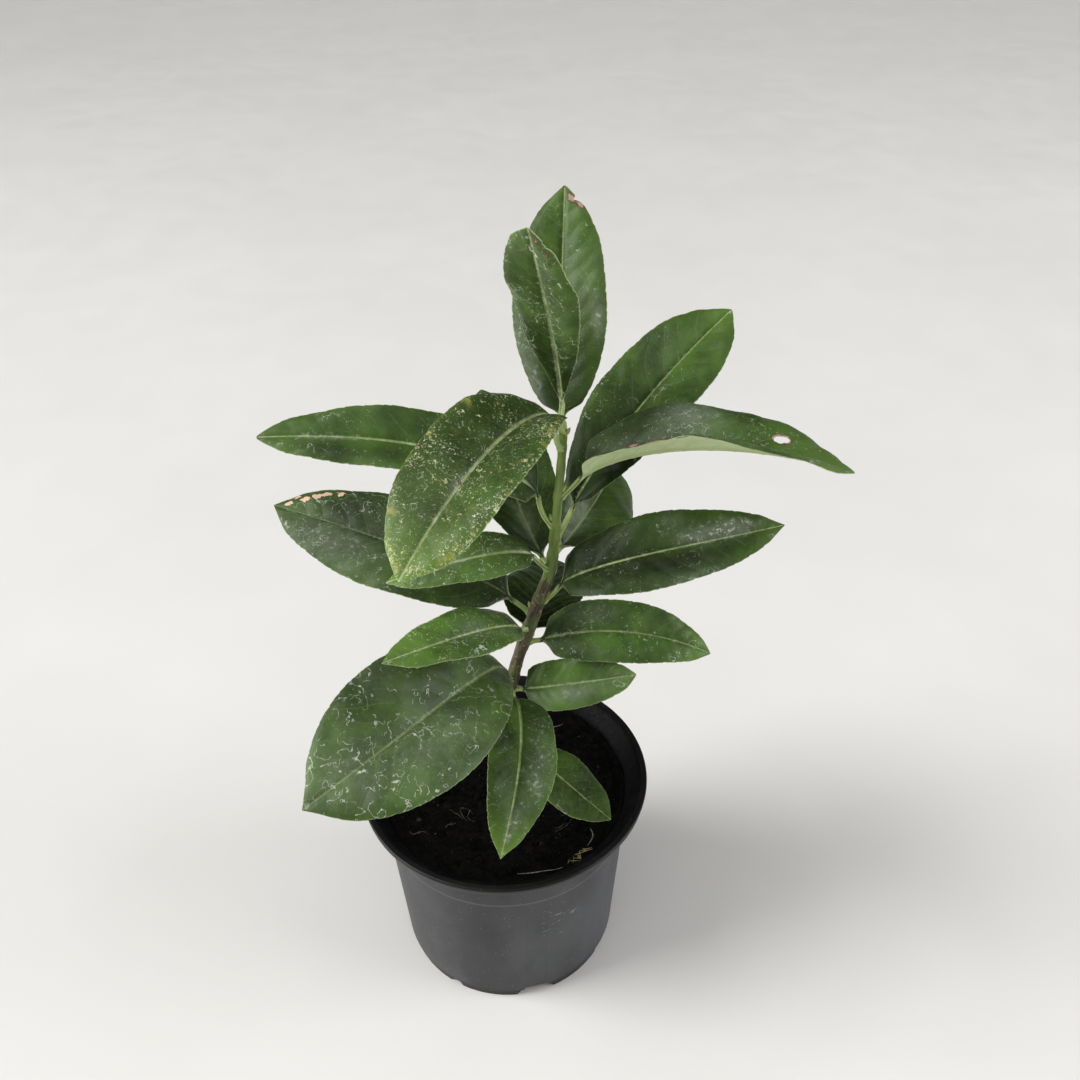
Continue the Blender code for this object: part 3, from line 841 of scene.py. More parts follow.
    def fibres(self, piece: str, per_mm2: float, length: float, radius: float, seed: int) -> Item:
        """Short bent root fibres that lie about on the surface.

        Args:
            piece: Name of the new object.
            per_mm2: Fibres on each square millimetre.
            length: Length of a fibre of scale 1.
            radius: Its radius.
            seed: Number that the draw starts from.

        Returns:
            The fibres as one object.
        """
        sizes = {"Density": per_mm2 / MM**2, "Length": length * MM, "Radius": radius * MM}
        g = Growth(piece, {**sizes, "Bow": 0.32, "Sides": 5, "Seed": seed})
        strewn = g.strew(g.start.outputs[0]).outputs["Points"]
        reach = g.size("Length")
        end = g.add("ShaderNodeCombineXYZ", {0: reach}).outputs[0]
        inputs = {0: g.math("MULTIPLY", reach, 0.5), 1: g.math("MULTIPLY", reach, g.size("Bow"))}
        middle = g.add("ShaderNodeCombineXYZ", inputs).outputs[0]
        inputs = {"Resolution": 8, "Start": (0, 0, 0), "Middle": middle, "End": end}
        bow = g.add("GeometryNodeCurveQuadraticBezier", inputs).outputs[0]
        tube = g.tube(bow, g.circle(g.size("Sides"), g.size("Radius")))
        spin = g.draw((-0.5, -0.12, 0.0), (0.5, 0.12, 6.283), 17)
        turn = g.add("FunctionNodeEulerToRotation", {0: spin}).outputs[0]
        scale = g.draw((0.35, 0.35, 0.5), (1.2, 1.2, 1.1), 19)
        real = g.real(g.lay(strewn, tube, turn, scale))
        push = g.vector("MULTIPLY", g.stirred(210.0, (0.5, 0.5, 0.35)), (0.006, 0.006, 0.003)).outputs[0]
        return g.grow(self.surface(piece + "_bed", 9.0), piece, g.pushed(real, push), self.fibre.make())

    def strands(self, piece: str, lines: Sequence[Sequence[Place]], radius: float, finish: Fibre) -> Item:
        """Single straws, each along its own few points.

        Args:
            piece: Name of the new object.
            lines: Points of each straw, their heights above the soil's surface.
            radius: Radius of a straw at its middle.
            finish: What the straws are made of.

        Returns:
            The straws as one object.
        """
        curve = bpy.data.curves.new(piece, "CURVE")
        curve.dimensions = "3D"
        for line in lines:
            spline = curve.splines.new("NURBS")
            spline.points.add(len(line) - 1)
            for point, (x, y, z) in zip(spline.points, line):
                point.co = (x * MM, y * MM, (self.top + self.lump_at(x, y) + z) * MM, 1.0)
                point.radius = 1.0
            spline.use_endpoint_u = True
            spline.order_u = 3
            spline.resolution_u = 6
        carrier = link_object(piece + "_path", curve)
        g = Growth(piece, {"Radius": radius * MM, "Sides": 6})
        share = g.add("GeometryNodeSplineParameter").outputs["Factor"]
        thin = g.math("MULTIPLY_ADD", g.math("MULTIPLY", share, g.math("SUBTRACT", 1.0, share)), 2.4, 0.4)
        tube = g.tube(g.start.outputs[0], g.circle(g.size("Sides"), g.size("Radius")), thin)
        return g.grow(carrier, piece, tube, finish.make())

    def tuft(self) -> list[list[Place]]:
        """Points of a tuft of straws that leans towards the pot's wall.

        Returns:
            The points of each straw.
        """
        lines = []
        for k in range(13):
            line = []
            for share, reach, lift in ((0.0, 50.8, -0.2), (0.5, 53.2, 1.6), (1.0, 55.3, 3.8)):
                turn = math.radians(-52.6 + 0.75 * (k - 6) + share * 4.5 * math.sin(2.3 * k))
                far = reach + 0.5 * math.sin(1.9 * k)
                rise = lift * (0.7 + 0.3 * math.cos(2.9 * k))
                line.append((far * math.cos(turn), far * math.sin(turn), rise))
            lines.append(line)
        return lines

    def build(self) -> Pieces:
        """Lay the bed and what lies on it.

        Returns:
            Each piece with its material slot and the node that it stands for.
        """
        bed = self.bed()
        pale = [
            [(38.0, -27.0, 0.8), (39.3, -30.0, 1.7), (38.6, -33.5, 1.5), (36.4, -36.6, 0.6)],
            [(6, -50.3, 0.5), (11, -50.8, 1.5), (17, -50, 1.7), (22.5, -48.4, 1), (25.5, -47.2, 0.4)],
            [(-31.0, 22.0, 0.4), (-27.0, 25.0, 1.6), (-21.0, 26.5, 1.2), (-17.0, 30.0, 0.4)],
            [(12.0, 33.0, 0.4), (17.0, 36.0, 1.3), (24.0, 35.0, 1.2), (28.0, 38.0, 0.3)],
        ]
        grey = Fibre("straw_grey", (0.12, 0.11, 0.09), (0.34, 0.32, 0.27))
        yellow = Fibre("straw_yellow", (0.12, 0.10, 0.045), (0.34, 0.30, 0.13))
        loose = [
            self.crumbs("soil_crumbs_fine", 0.30, 0.22, 0.75, 2, 1),
            self.crumbs("soil_crumbs_coarse", 0.035, 0.55, 2.3, 5, 2),
            self.fibres("soil_fibres", 0.007, 10.0, 0.09, 4),
            self.strands("soil_straws", pale, 0.19, grey),
            self.strands("soil_tuft", self.tuft(), 0.16, yellow),
        ]
        return [(bed, "peat", "soil")] + [(item, "peat", None) for item in loose]


# Stem


@dataclass(frozen=True)
class Bark:
    """Smooth green skin that turns into brown bark below."""

    green: Colour = (0.088, 0.145, 0.022)
    pale: Colour = (0.160, 0.230, 0.046)
    brown: Colour = (0.050, 0.038, 0.020)
    tan: Colour = (0.130, 0.105, 0.058)
    dark: Colour = (0.022, 0.016, 0.010)
    change: float = 216.0

    def make(self) -> Material:
        """Build the material.

        Returns:
            The material.
        """
        g = Finish("stem_skin")
        p = g.grain()
        place = g.add("ShaderNodeAttribute", attribute_name="wood_place").outputs["Vector"]
        inputs = {"Vector": place, "Scale": (1.0 / MM, 1.0 / MM, 0.12 / MM)}
        long = g.add("ShaderNodeMapping", inputs).outputs[0]
        up = g.height(p)
        skin = g.mix(g.step(g.noise(long, 0.6, 3.0), 0.3, 0.7), self.green, self.pale)
        wood = g.mix(g.step(g.noise(long, 1.0, 4.0, 0.65), 0.40, 0.66), self.brown, self.tan)
        wood = g.mix(g.step(g.noise(long, 1.9, 3.0, 0.6), 0.52, 0.72), wood, self.dark)
        wood = g.mix(g.times(g.step(g.noise(p, 0.35, 4.0, 0.7), 0.55, 0.7), 0.5), wood, self.tan)
        mossy = g.times(g.step(g.noise(p, 0.16, 2.0), 0.5, 0.62), g.step(up, 60.0, 150.0), 0.4)
        wood = g.mix(mossy, wood, self.green)
        over = g.math("SUBTRACT", up, self.change + 7.5)
        above = g.step(g.math("MULTIPLY_ADD", g.noise(long, 0.75, 3.0, 0.6), 15.0, over), -0.8, 0.8)
        colour = g.mix(above, wood, skin)
        relief = g.times(g.noise(long, 1.4, 4.0, 0.65), g.step(above, 0.0, 1.0, 1.0, 0.2))
        return g.finish(colour, g.step(above, 0.0, 1.0, 0.72, 0.42), relief, 0.22)


@dataclass(frozen=True)
class BudSkin:
    """Pale scales of a bud."""

    name: str = "bud_scale"
    foot: Colour = (0.25, 0.30, 0.085)
    tip: Colour = (0.42, 0.44, 0.16)
    worn: Colour = (0.16, 0.085, 0.03)

    def make(self) -> Material:
        """Build the material.

        Returns:
            The material.
        """
        g = Finish(self.name)
        p = g.grain(4.0)
        colour = g.mix(g.step(g.noise(p, 0.7, 3.0), 0.3, 0.7), self.foot, self.tip)
        colour = g.mix(g.times(g.step(g.noise(p, 1.6, 3.0, 0.7), 0.62, 0.72), 0.6), colour, self.worn)
        return g.finish(colour, 0.5, g.noise(p, 2.0, 3.0), 0.08)


@dataclass
class Stem:
    """One upright stem with swollen nodes, lenticels, axil buds and a tip bud.

    Each point of its line is x, height and radius.
    """

    y: float = -7.0
    line: tuple[Place, ...] = (
        (-2.0, 52.0, 3.0), (-2.0, 90.0, 3.0), (0.0, 123.0, 2.8), (3.0, 150.0, 2.6),
        (8.0, 173.0, 2.5), (13.5, 192.0, 2.5), (19.0, 210.0, 2.4), (21.5, 218.0, 2.2),
        (23.5, 237.0, 1.8), (24.7, 253.0, 1.7), (25.8, 267.0, 1.6), (26.4, 279.0, 1.3),
    )
    nodes: tuple[float, ...] = ()
    swell: float = 0.35
    swell_reach: float = 2.4
    axis_points: int = 320
    bark_top: float = 214.0
    cork_foot: float = 92.0
    bud_sides: int = 18
    bud_outline: tuple[Pair, ...] = (
        (-0.25, 0.6), (0.0, 0.85), (0.2, 1.0), (0.4, 1.0), (0.46, 0.9),
        (0.6, 0.86), (0.75, 0.62), (0.88, 0.34), (0.98, 0.08),
    )
    bark: Bark = field(default_factory=Bark)

    def centre(self, height: float) -> Array:
        """Middle of the stem, on a smooth curve through the line's points.

        Args:
            height: Height above the ground.

        Returns:
            The point.
        """
        line = self.line
        last = len(line) - 2
        k = next((n for n in range(last) if height < line[n + 1][1]), last)
        (x0, z0, _), (x1, z1, _) = line[k], line[k + 1]
        before = line[max(k - 1, 0)]
        after = line[min(k + 2, len(line) - 1)]
        slope0 = (x1 - before[0]) / (z1 - before[1])
        slope1 = (after[0] - x0) / (after[1] - z0)
        span = z1 - z0
        t = (height - z0) / span
        x = (2 * t**3 - 3 * t**2 + 1) * x0 + (t**3 - 2 * t**2 + t) * span * slope0
        x += (3 * t**2 - 2 * t**3) * x1 + (t**3 - t**2) * span * slope1
        return np.array([x, self.y, height])

    def radius(self, height: float) -> float:
        """Radius of the stem, with a swelling at each leaf's foot.

        Args:
            height: Height above the ground.

        Returns:
            The radius.
        """
        heights = [row[1] for row in self.line]
        radius = float(np.interp(height, heights, [row[2] for row in self.line]))
        bumps = [math.exp(-(((height - node) / self.swell_reach) ** 2)) for node in self.nodes]
        return radius + self.swell * max(bumps, default=0.0)

    def axis(self) -> Item:
        """Curve along the stem's middle that carries its radius.

        Returns:
            The curve.
        """
        low, high = self.line[0][1], self.line[-1][1]
        count = self.axis_points
        curve = bpy.data.curves.new("stem_axis", "CURVE")
        curve.dimensions = "3D"
        spline = curve.splines.new("POLY")
        spline.points.add(count - 1)
        for k, point in enumerate(spline.points):
            height = low + (high - low) * k / (count - 1)
            point.co = (*(self.centre(height) * MM), 1.0)
            point.radius = self.radius(height)
        return link_object("stem_axis", curve)

    def trunk(self, skin: Material) -> Item:
        """Skin swept along the stem's path, ridged where it is bark.

        Args:
            skin: Its material.

        Returns:
            The trunk.
        """
        sizes = {"Thickness": MM, "Ridge": 0.34 * MM, "Wander": 0.30 * MM, "Bark top": self.bark_top * MM}
        g = Growth("stem_trunk", {**sizes, "Sides": 40})
        radius = g.add("GeometryNodeInputRadius").outputs[0]
        where = g.where()
        kept = g.add("GeometryNodeCaptureAttribute", {"Geometry": g.start.outputs[0]}, domain="POINT")
        kept.capture_items.new("VECTOR", "Middle")
        g.put(kept.inputs["Middle"], where)
        tube = g.tube(kept.outputs[0], g.circle(g.size("Sides"), g.size("Thickness")), radius)
        middle = kept.outputs["Middle"]
        height = g.vector("MULTIPLY", middle, (0.0, 0.0, 1.0)).outputs[0]
        local = g.vector("ADD", g.vector("SUBTRACT", where, middle).outputs[0], height).outputs[0]
        inputs = {"Geometry": tube, "Name": "wood_place", "Value": local}
        named = g.add("GeometryNodeStoreNamedAttribute", inputs, data_type="FLOAT_VECTOR").outputs[0]
        share = g.math("DIVIDE", g.height(where), g.size("Bark top"))
        bark = g.math("SUBTRACT", 1.0, g.step(share, 0.96, 1.03))
        long = g.vector("MULTIPLY", local, (1.0, 1.0, 0.10)).outputs[0]
        ridges = g.noise(long, 900.0, 2.0, 0.55)
        lumps = g.noise(where, 150.0, 1.0)
        rugged = g.step(bark, 0.0, 1.0, 0.3, 1.0)
        lift = g.times(g.math("SUBTRACT", ridges, 0.5), g.size("Ridge"), 2.0, rugged)
        lift = g.math("ADD", lift, g.times(g.math("SUBTRACT", lumps, 0.5), g.size("Wander"), 2.0))
        normal = g.add("GeometryNodeInputNormal").outputs[0]
        return g.grow(self.axis(), "stem_trunk", g.pushed(named, g.scaled(normal, lift)), skin)

    def lenticels(self, skin: Material) -> Item:
        """Small raised corky spots on the bark.

        Args:
            skin: Their material.

        Returns:
            The spots as one object.
        """
        sizes = {"Density": 90000.0, "Size": 0.42 * MM, "Bark top": self.bark_top * MM}
        g = Growth("stem_lenticels", {**sizes, "Seed": 6})
        radius = g.add("GeometryNodeInputRadius").outputs[0]
        tube = g.tube(g.start.outputs[0], g.circle(24, MM), radius, False)
        up = g.height(g.where())
        above = g.math("GREATER_THAN", up, self.cork_foot * MM)
        below = g.math("LESS_THAN", up, g.size("Bark top"))
        strewn = g.strew(tube, g.math("MULTIPLY", above, below))
        scale = g.scaled(g.draw((0.7, 0.6, 0.45), (1.5, 1.1, 0.7), 8), g.size("Size"))
        laid = g.lay(strewn.outputs["Points"], g.ball(2), strewn.outputs["Rotation"], scale)
        return g.grow(self.axis(), "stem_lenticels", laid, skin)

    def bud(self, foot: Array, direction: Array, radius: float, length: float) -> tuple[Array, list[Face]]:
        """One pointed bud with a scale's edge wound round it.

        Args:
            foot: Point that it grows from.
            direction: Where it points.
            radius: Its radius where it is thickest.
            length: Its length.

        Returns:
            Its points and faces.
        """
        axis = Vector(direction).normalized()
        side = axis.orthogonal().normalized()
        front = axis.cross(side)
        points = []
        for along, share in self.bud_outline:
            for k in range(self.bud_sides):
                turn = 2.0 * math.pi * k / self.bud_sides
                slip = 0.07 * length * math.cos(turn)
                offset = side * math.cos(turn) + front * math.sin(turn)
                place = Vector(foot) + axis * (along * length + slip * smooth(along, 0.1, 0.4))
                points.append(place + offset * (radius * share))
        return np.array(points), ring_faces(len(self.bud_outline), self.bud_sides)

    def buds(self, places: Iterable[Pair]) -> Item:
        """Buds in the leaves' axils, and two at the stem's tip.

        Args:
            places: Height and heading of each axil.

        Returns:
            The buds as one object.
        """
        points: list[Array] = []
        faces: list[Face] = []
        top = self.centre(self.line[-1][1])
        wanted = [(top, np.array([0.05, -0.05, 1.0]), 1.35, 5.2)]
        wanted.append((top + np.array([1.0, -0.8, -0.6]), np.array([0.45, -0.3, 1.0]), 0.8, 3.6))
        for height, heading in places:
            out = heading_vectors(heading, 0.0)
            foot = self.centre(height + 2.6) + out * (self.radius(height + 2.6) * 0.75)
            wanted.append((foot, out + np.array([0.0, 0.0, 2.2]), 0.95, 3.0))
        for foot, direction, radius, length in wanted:
            new, rows = self.bud(foot, direction, radius, length)
            start = sum(len(part) for part in points)
            faces += [tuple(start + k for k in row) for row in rows]
            points.append(new)
        mesh = mesh_from_arrays("stem_buds", np.concatenate(points), faces)
        mesh.materials.append(BudSkin().make())
        return link_object("stem_buds", mesh)

    def build(self, budded: Iterable[Pair]) -> Pieces:
        """Grow the stem.

        Args:
            budded: Height and heading of each leaf that has a bud in its axil.

        Returns:
            Each piece with its material slot and the node that it stands for.
        """
        skin = self.bark.make()
        cork = BudSkin("stem_cork", (0.16, 0.115, 0.065), (0.26, 0.20, 0.125))
        return [
            (self.trunk(skin), "stem_bark", "stem"),
            (self.lenticels(cork.make()), "stem_bark", None),
            (self.buds(budded), "stem_bark", None),
        ]


# Leaves


class Mark(Enum):
    """What has happened to a blade at one place, or where painted shade or painted sheen lies on it."""

    BITE = "a piece is gone from the margin"
    HOLE = "bored through"
    SCAR = "brown, dried tissue"
    BLOT = "cream spot where the green is gone"
    # Partly a pale film of dried water and partly painted sheen.
    FILM_AND_SHEEN = "thin pale film that water has left"
    # Painted shade: patches of the green darkened where the leaf lies in shade.
    PAINTED_SHADE = "older, darker green"


@dataclass(frozen=True)
class Blemish:
    """One mark: share of the length, share of the half width (right is below 0), two reaches, strength."""

    kind: Mark
    along: float
    across: float
    reach_along: float
    reach_across: float
    weight: float = 1.0

    def gap(self, u: Array, v: Array) -> Array:
        """How far shares u of the length and v of the half width lie from its middle: 1 at its edge."""
        return np.hypot((u - self.along) / self.reach_along, (v - self.across) / self.reach_across)


def marks(kind: Mark, *rows: tuple[float, ...]) -> tuple[Blemish, ...]:
    """Blemishes of one kind, each from a row of its other fields."""
    return tuple(Blemish(kind, *row) for row in rows)


@dataclass(frozen=True)
class LeafLook:
    """How one leaf differs from the next in colour and in what lies on it. Its shade is painted light and
    shade: a factor on the greens, low for a leaf in shade and high for one that light falls on. Its haze is
    partly dust and partly painted sheen.
    """

    lime: float = 0.5
    specks: float = 0.4
    haze: float = 0.3
    fresh: float = 0.25
    cream: float = 0.0
    yellow: float = 0.0
    rib: float = 0.8
    rim: float = 0.35
    # Painted light and shade: scales the greens down for a leaf in shade and up for a brightly lit one.
    shade: float = 1.0
    gloss: float = 1.0
    rib_width: float = 1.0
    crust: float = 0.3


@dataclass(frozen=True)
class LeafSkin:
    """Waxy laurel leaf: dark green blade, pale ribs, lime from dried water, pale underside."""

    dark: Colour = (0.022, 0.047, 0.0075)
    middle: Colour = (0.062, 0.123, 0.0195)
    fresh: Colour = (0.15, 0.26, 0.045)
    rib: Colour = (0.42, 0.5, 0.22)
    stalk: Colour = (0.36, 0.45, 0.17)
    vein: Colour = (0.115, 0.165, 0.06)
    # Grey-green haze: partly dust and partly painted sheen.
    haze: Colour = (0.19, 0.225, 0.165)
    lime: Colour = (0.63, 0.66, 0.58)
    cream: Colour = (0.62, 0.63, 0.36)
    yellow: Colour = (0.42, 0.37, 0.08)
    tan: Colour = (0.38, 0.27, 0.17)
    brown: Colour = (0.085, 0.052, 0.03)
    peach: Colour = (0.76, 0.53, 0.37)
    under: Colour = (0.61, 0.7, 0.4)
    under_deep: Colour = (0.46, 0.56, 0.28)
    # Painted shade: the colour that the shade patches multiply the green by.
    deepest: Colour = (0.12, 0.12, 0.12)
    gloss: float = 0.24
    coat: float = 0.05
    coat_rough: float = 0.25

    def lime_marks(self, g: Finish, p: Socket, look: LeafLook) -> Socket:
        """Rings and threads of lime where drops have dried, in patches.

        Args:
            g: The leaf's material.
            p: Its coordinates.
            look: What sets the leaf apart.

        Returns:
            How much lime lies at a place.
        """
        loose = g.warped(g.warped(p, 0.09, 2.6), 0.50, 1.1)
        level = g.math("FRACT", g.times(g.noise(loose, 0.070, 2.0, 0.5), 3.9))
        gap = g.math("ABSOLUTE", g.math("SUBTRACT", level, 0.5))
        patch = g.step(g.noise(p, 0.045, 2.0), 0.60 - 0.26 * look.lime, 0.68 - 0.26 * look.lime)
        broken = g.step(g.noise(p, 0.24, 3.0, 0.6), 0.42, 0.52)
        beads = g.step(g.noise(p, 0.75, 3.0, 0.6), 0.40, 0.56, 0.35, 1.0)
        line = g.times(g.step(gap, 0.023, 0.004), broken, beads)
        fine = g.noise(g.warped(p, 0.6, 0.9), 0.15, 2.0, 0.5)
        thread = g.step(g.math("ABSOLUTE", g.math("SUBTRACT", fine, 0.5)), 0.010, 0.003)
        thread = g.times(thread, g.step(g.noise(p, 0.21, 2.0), 0.50, 0.58), 0.8)
        smear = g.times(g.step(g.noise(loose, 0.42, 5.0, 0.72), 0.66, 0.76), 0.35)
        drawn = g.math("MAXIMUM", g.math("MAXIMUM", line, thread), smear)
        return g.times(drawn, patch, min(1.0, 0.45 + look.lime))

    def strokes(self, g: Finish, p: Socket, scale: float, width: float, share: Any) -> Socket:
        """Short fine curved flecks: parts of the contour lines of a noise.

        Args:
            g: The leaf's material.
            p: Its coordinates.
            scale: Features of the noise in a unit.
            width: Measure of a fleck's width.
            share: Measure of how much of the lines shows.

        Returns:
            1 in a fleck and 0 outside.
        """
        loose = g.warped(p, 2.1 * scale, 0.30 / scale)
        gap = g.math("ABSOLUTE", g.math("SUBTRACT", g.noise(loose, scale, 1.0), 0.5))
        apart = g.vector("ADD", p, (31.0, 17.0, 5.0)).outputs[0]
        cut = g.math("ADD", g.noise(apart, 1.5 * scale, 2.0, 0.6), share)
        return g.times(g.step(gap, width, 0.3 * width), g.step(cut, 0.86, 0.94))

    def make(self, name: str, look: LeafLook, seed: float) -> Material:
        """Build the material of one leaf.

        Args:
            name: The material's name.
            look: What sets this leaf apart.
            seed: Shift of its patterns.

        Returns:
            The material.
        """
        g = Finish(name)
        p = g.grain(seed)
        along, rib, edge = g.attribute("along"), g.attribute("rib"), g.attribute("edge")
        vein, under = g.attribute("vein"), g.attribute("under")
        scar, blot, film, painted_shade = (g.attribute(mark) for mark in ("scar", "blot", "film", "painted_shade"))
        broad, mottle = g.noise(p, 0.06, 3.0, 0.55), g.noise(p, 0.55, 4.0, 0.65)

        # Painted light and shade: the leaf's greens are scaled by its shade.
        shaded = tuple(look.shade * side for side in self.dark)
        lighter = tuple(look.shade * side for side in self.middle)
        top = g.mix(g.step(broad, 0.33, 0.68), shaded, lighter)
        top = g.mix(g.times(g.step(mottle, 0.35, 0.75), 0.12), top, self.fresh)
        seams = g.cells(g.warped(p, 0.9, 0.3), 0.62, "DISTANCE_TO_EDGE").outputs["Distance"]
        net = g.step(seams, 0.10, 0.02)
        top = g.mix(g.times(net, 0.10), top, self.vein)
        tip = g.math("ADD", g.step(along, 0.66, 1.05, 0.0, 0.85), g.step(edge, 3.0, 0.0, 0.0, 0.12))
        top = g.mix(g.math("MULTIPLY", tip, look.fresh, clamp=True), top, self.fresh)

        gap = g.math("ABSOLUTE", g.math("SUBTRACT", g.math("FRACT", vein), 0.5))
        inner = g.step(edge, 0.8, 5.0)
        lateral = g.times(g.step(gap, 0.058, 0.010), inner, g.step(mottle, 0.25, 0.6, 0.3, 1.0))
        top = g.mix(g.times(lateral, 0.42), top, self.vein)
        # Random patches of dust and painted sheen, as strong as the leaf's haze.
        dust_and_sheen = g.times(g.step(g.noise(p, 0.045, 3.0, 0.6), 0.40, 0.66), g.step(mottle, 0.2, 0.7, 0.55, 1.0))
        # Painted shade: the blade is also darkened towards its foot, where it lies in shade near the stem.
        painted_shade = g.math("MAXIMUM", painted_shade, g.step(along, 0.42, 0.06, 0.0, 0.65))
        top = g.mix(g.times(painted_shade, 0.8), top, self.deepest, "MULTIPLY")
        top = g.mix(g.times(dust_and_sheen, 0.20 * look.haze), top, self.haze)
        # Film patches: partly a pale film of dried water, partly painted sheen; lime crust forms in them
        # below.
        streaky = g.step(g.noise(g.warped(p, 0.3, 1.5), 0.28, 4.0, 0.6), 0.25, 0.70, 0.45, 1.0)
        top = g.mix(g.times(film, streaky, 0.68), top, self.haze)
        if look.yellow:
            sick = g.times(g.step(g.noise(p, 0.16, 3.0, 0.6), 0.56, 0.70), g.step(edge, 6.0, 0.5, 0.12, 0.9))
            top = g.mix(g.times(sick, look.yellow), top, self.yellow)
        width = g.math("MULTIPLY_ADD", along, -0.50 * look.rib_width, 0.74 * look.rib_width)
        centre = g.step(g.math("DIVIDE", rib, width), 1.05, 0.40)
        worn = g.step(g.noise(p, 0.13, 2.0), 0.35, 0.6, 0.6, 1.0)
        patchy = g.times(g.step(mottle, 0.25, 0.65, 0.45, 1.0), worn)
        top = g.mix(g.times(centre, look.rib, patchy), top, self.rib)
        rim = g.times(g.step(edge, 0.34, 0.06), g.step(g.noise(p, 0.9, 3.0, 0.7), 0.40, 0.62, 0.25, 1.0))
        top = g.mix(g.times(rim, look.rim), top, self.rib)

        lime = g.times(self.lime_marks(g, p, look), g.step(along, 0.08, 0.36))
        grains = g.step(g.noise(p, 0.55, 4.0, 0.7), 0.52, 0.64)
        gathered = g.times(g.step(rib, 1.7, 0.2), grains, 0.75 * look.specks)
        lime = g.math("MAXIMUM", lime, g.times(gathered, g.step(g.noise(p, 0.10, 2.0), 0.42, 0.60)))
        crowd = g.step(g.noise(p, 0.085, 2.0), 0.36, 0.66)
        held = g.math("MULTIPLY_ADD", crowd, 0.55 * look.specks, 0.05)
        dots = g.specks(g.warped(p, 1.6, 0.35), 0.95, 0.15, held)
        short = self.strokes(g, p, 0.38, 0.024, g.math("MULTIPLY_ADD", crowd, 0.26 * look.specks, 0.17))
        faint = g.step(g.noise(p, 0.9, 3.0, 0.6), 0.3, 0.7, 0.40, 1.0)
        fine = g.times(g.math("MAXIMUM", short, dots), faint, min(0.9, 0.25 + 0.7 * look.specks))
        lime = g.math("MAXIMUM", lime, fine)
        crust = g.step(g.noise(g.warped(g.warped(p, 0.12, 3.0), 0.6, 0.8), 0.42, 5.0, 0.72), 0.53, 0.66)
        lime = g.math("MAXIMUM", lime, g.times(crust, film, look.crust))
        top = g.mix(g.times(lime, 0.80), top, self.lime)
        if look.cream:
            many = g.math("ADD", g.step(g.noise(p, 0.075, 2.0), 0.38, 0.62), g.step(edge, 7.0, 1.0, 0.0, 0.5))
            many = g.math("MULTIPLY_ADD", many, 0.50 * look.cream, 0.26 * look.cream)
            most, fewer = (g.math("MULTIPLY_ADD", many, 0.24, least) for least in (0.22, 0.18))
            long = self.strokes(g, g.grain(seed + 41.0), 0.36, 0.030, most)
            short = self.strokes(g, g.grain(seed + 67.0), 0.72, 0.044, fewer)
            spots = g.specks(g.warped(p, 1.1, 0.8), 0.95, 0.13, g.times(many, 0.35))
            fleck = g.math("MAXIMUM", g.math("MAXIMUM", long, short), spots)
            top = g.mix(g.times(fleck, faint), top, self.cream)
            haze = g.times(g.step(g.noise(p, 0.5, 4.0, 0.7), 0.50, 0.70), many, 0.35)
            top = g.mix(g.times(haze, 0.6), top, self.fresh)

        ribbed = g.math("MAXIMUM", g.times(g.step(gap, 0.075, 0.02), inner), g.step(rib, 1.2, 0.8))
        below = g.mix(g.step(broad, 0.3, 0.7), self.under, self.under_deep)
        below = g.mix(g.times(net, 0.35), below, self.under_deep)
        below = g.mix(g.times(ribbed, 0.55), below, self.rib)
        colour = g.mix(under, top, below)
        stalk = g.step(along, 0.03, -0.10)
        colour = g.mix(g.times(stalk, g.step(mottle, 0.2, 0.7, 0.75, 1.0)), colour, self.stalk)

        burnt = g.math("ADD", scar, g.times(g.math("SUBTRACT", g.noise(p, 1.5, 4.0, 0.7), 0.5), 1.7))
        colour = g.mix(g.step(burnt, -0.10, 0.10), colour, self.brown)
        colour = g.mix(g.step(burnt, 0.28, 0.55), colour, self.tan)
        gone = g.math("ADD", blot, g.times(g.math("SUBTRACT", g.noise(p, 0.62, 4.0, 0.65), 0.5), 2.2))
        halved = tuple(0.5 * side for side in self.dark)
        colour = g.mix(g.times(g.step(gone, -0.30, 0.0), 0.6), colour, halved)
        colour = g.mix(g.step(gone, 0.02, 0.14), colour, self.peach)

        rough = g.math("ADD", g.step(mottle, 0.2, 0.8, 0.36, 0.48), g.times(lime, 0.25))
        rough = g.math("ADD", rough, g.math("ADD", g.times(dust_and_sheen, 0.16 * look.haze), g.times(film, 0.12)))
        rough = g.math("ADD", rough, g.math("MULTIPLY", under, 0.2), clamp=True)
        relief = g.math("ADD", g.times(net, -0.35), g.times(mottle, 0.5))
        relief = g.math("ADD", relief, g.times(g.noise(p, 2.6, 2.0), 0.35))
        relief = g.math("ADD", relief, g.times(lime, 0.4))
        g.shader.inputs["Coat Weight"].default_value = self.coat * look.gloss
        g.shader.inputs["Coat Roughness"].default_value = self.coat_rough
        return g.finish(colour, rough, relief, 0.075, self.gloss * look.gloss)


@dataclass(frozen=True)
class LeafForm:
    """One leaf: where it leaves the stem, how it hangs and how its blade is cut."""

    node: str
    height: float
    heading: float
    rise: float
    droop: float
    bend: float
    sweep: float
    petiole: float
    length: float
    width: float
    widest: float
    pointed: float
    taper: float
    fold: float
    roll: float
    twist: float


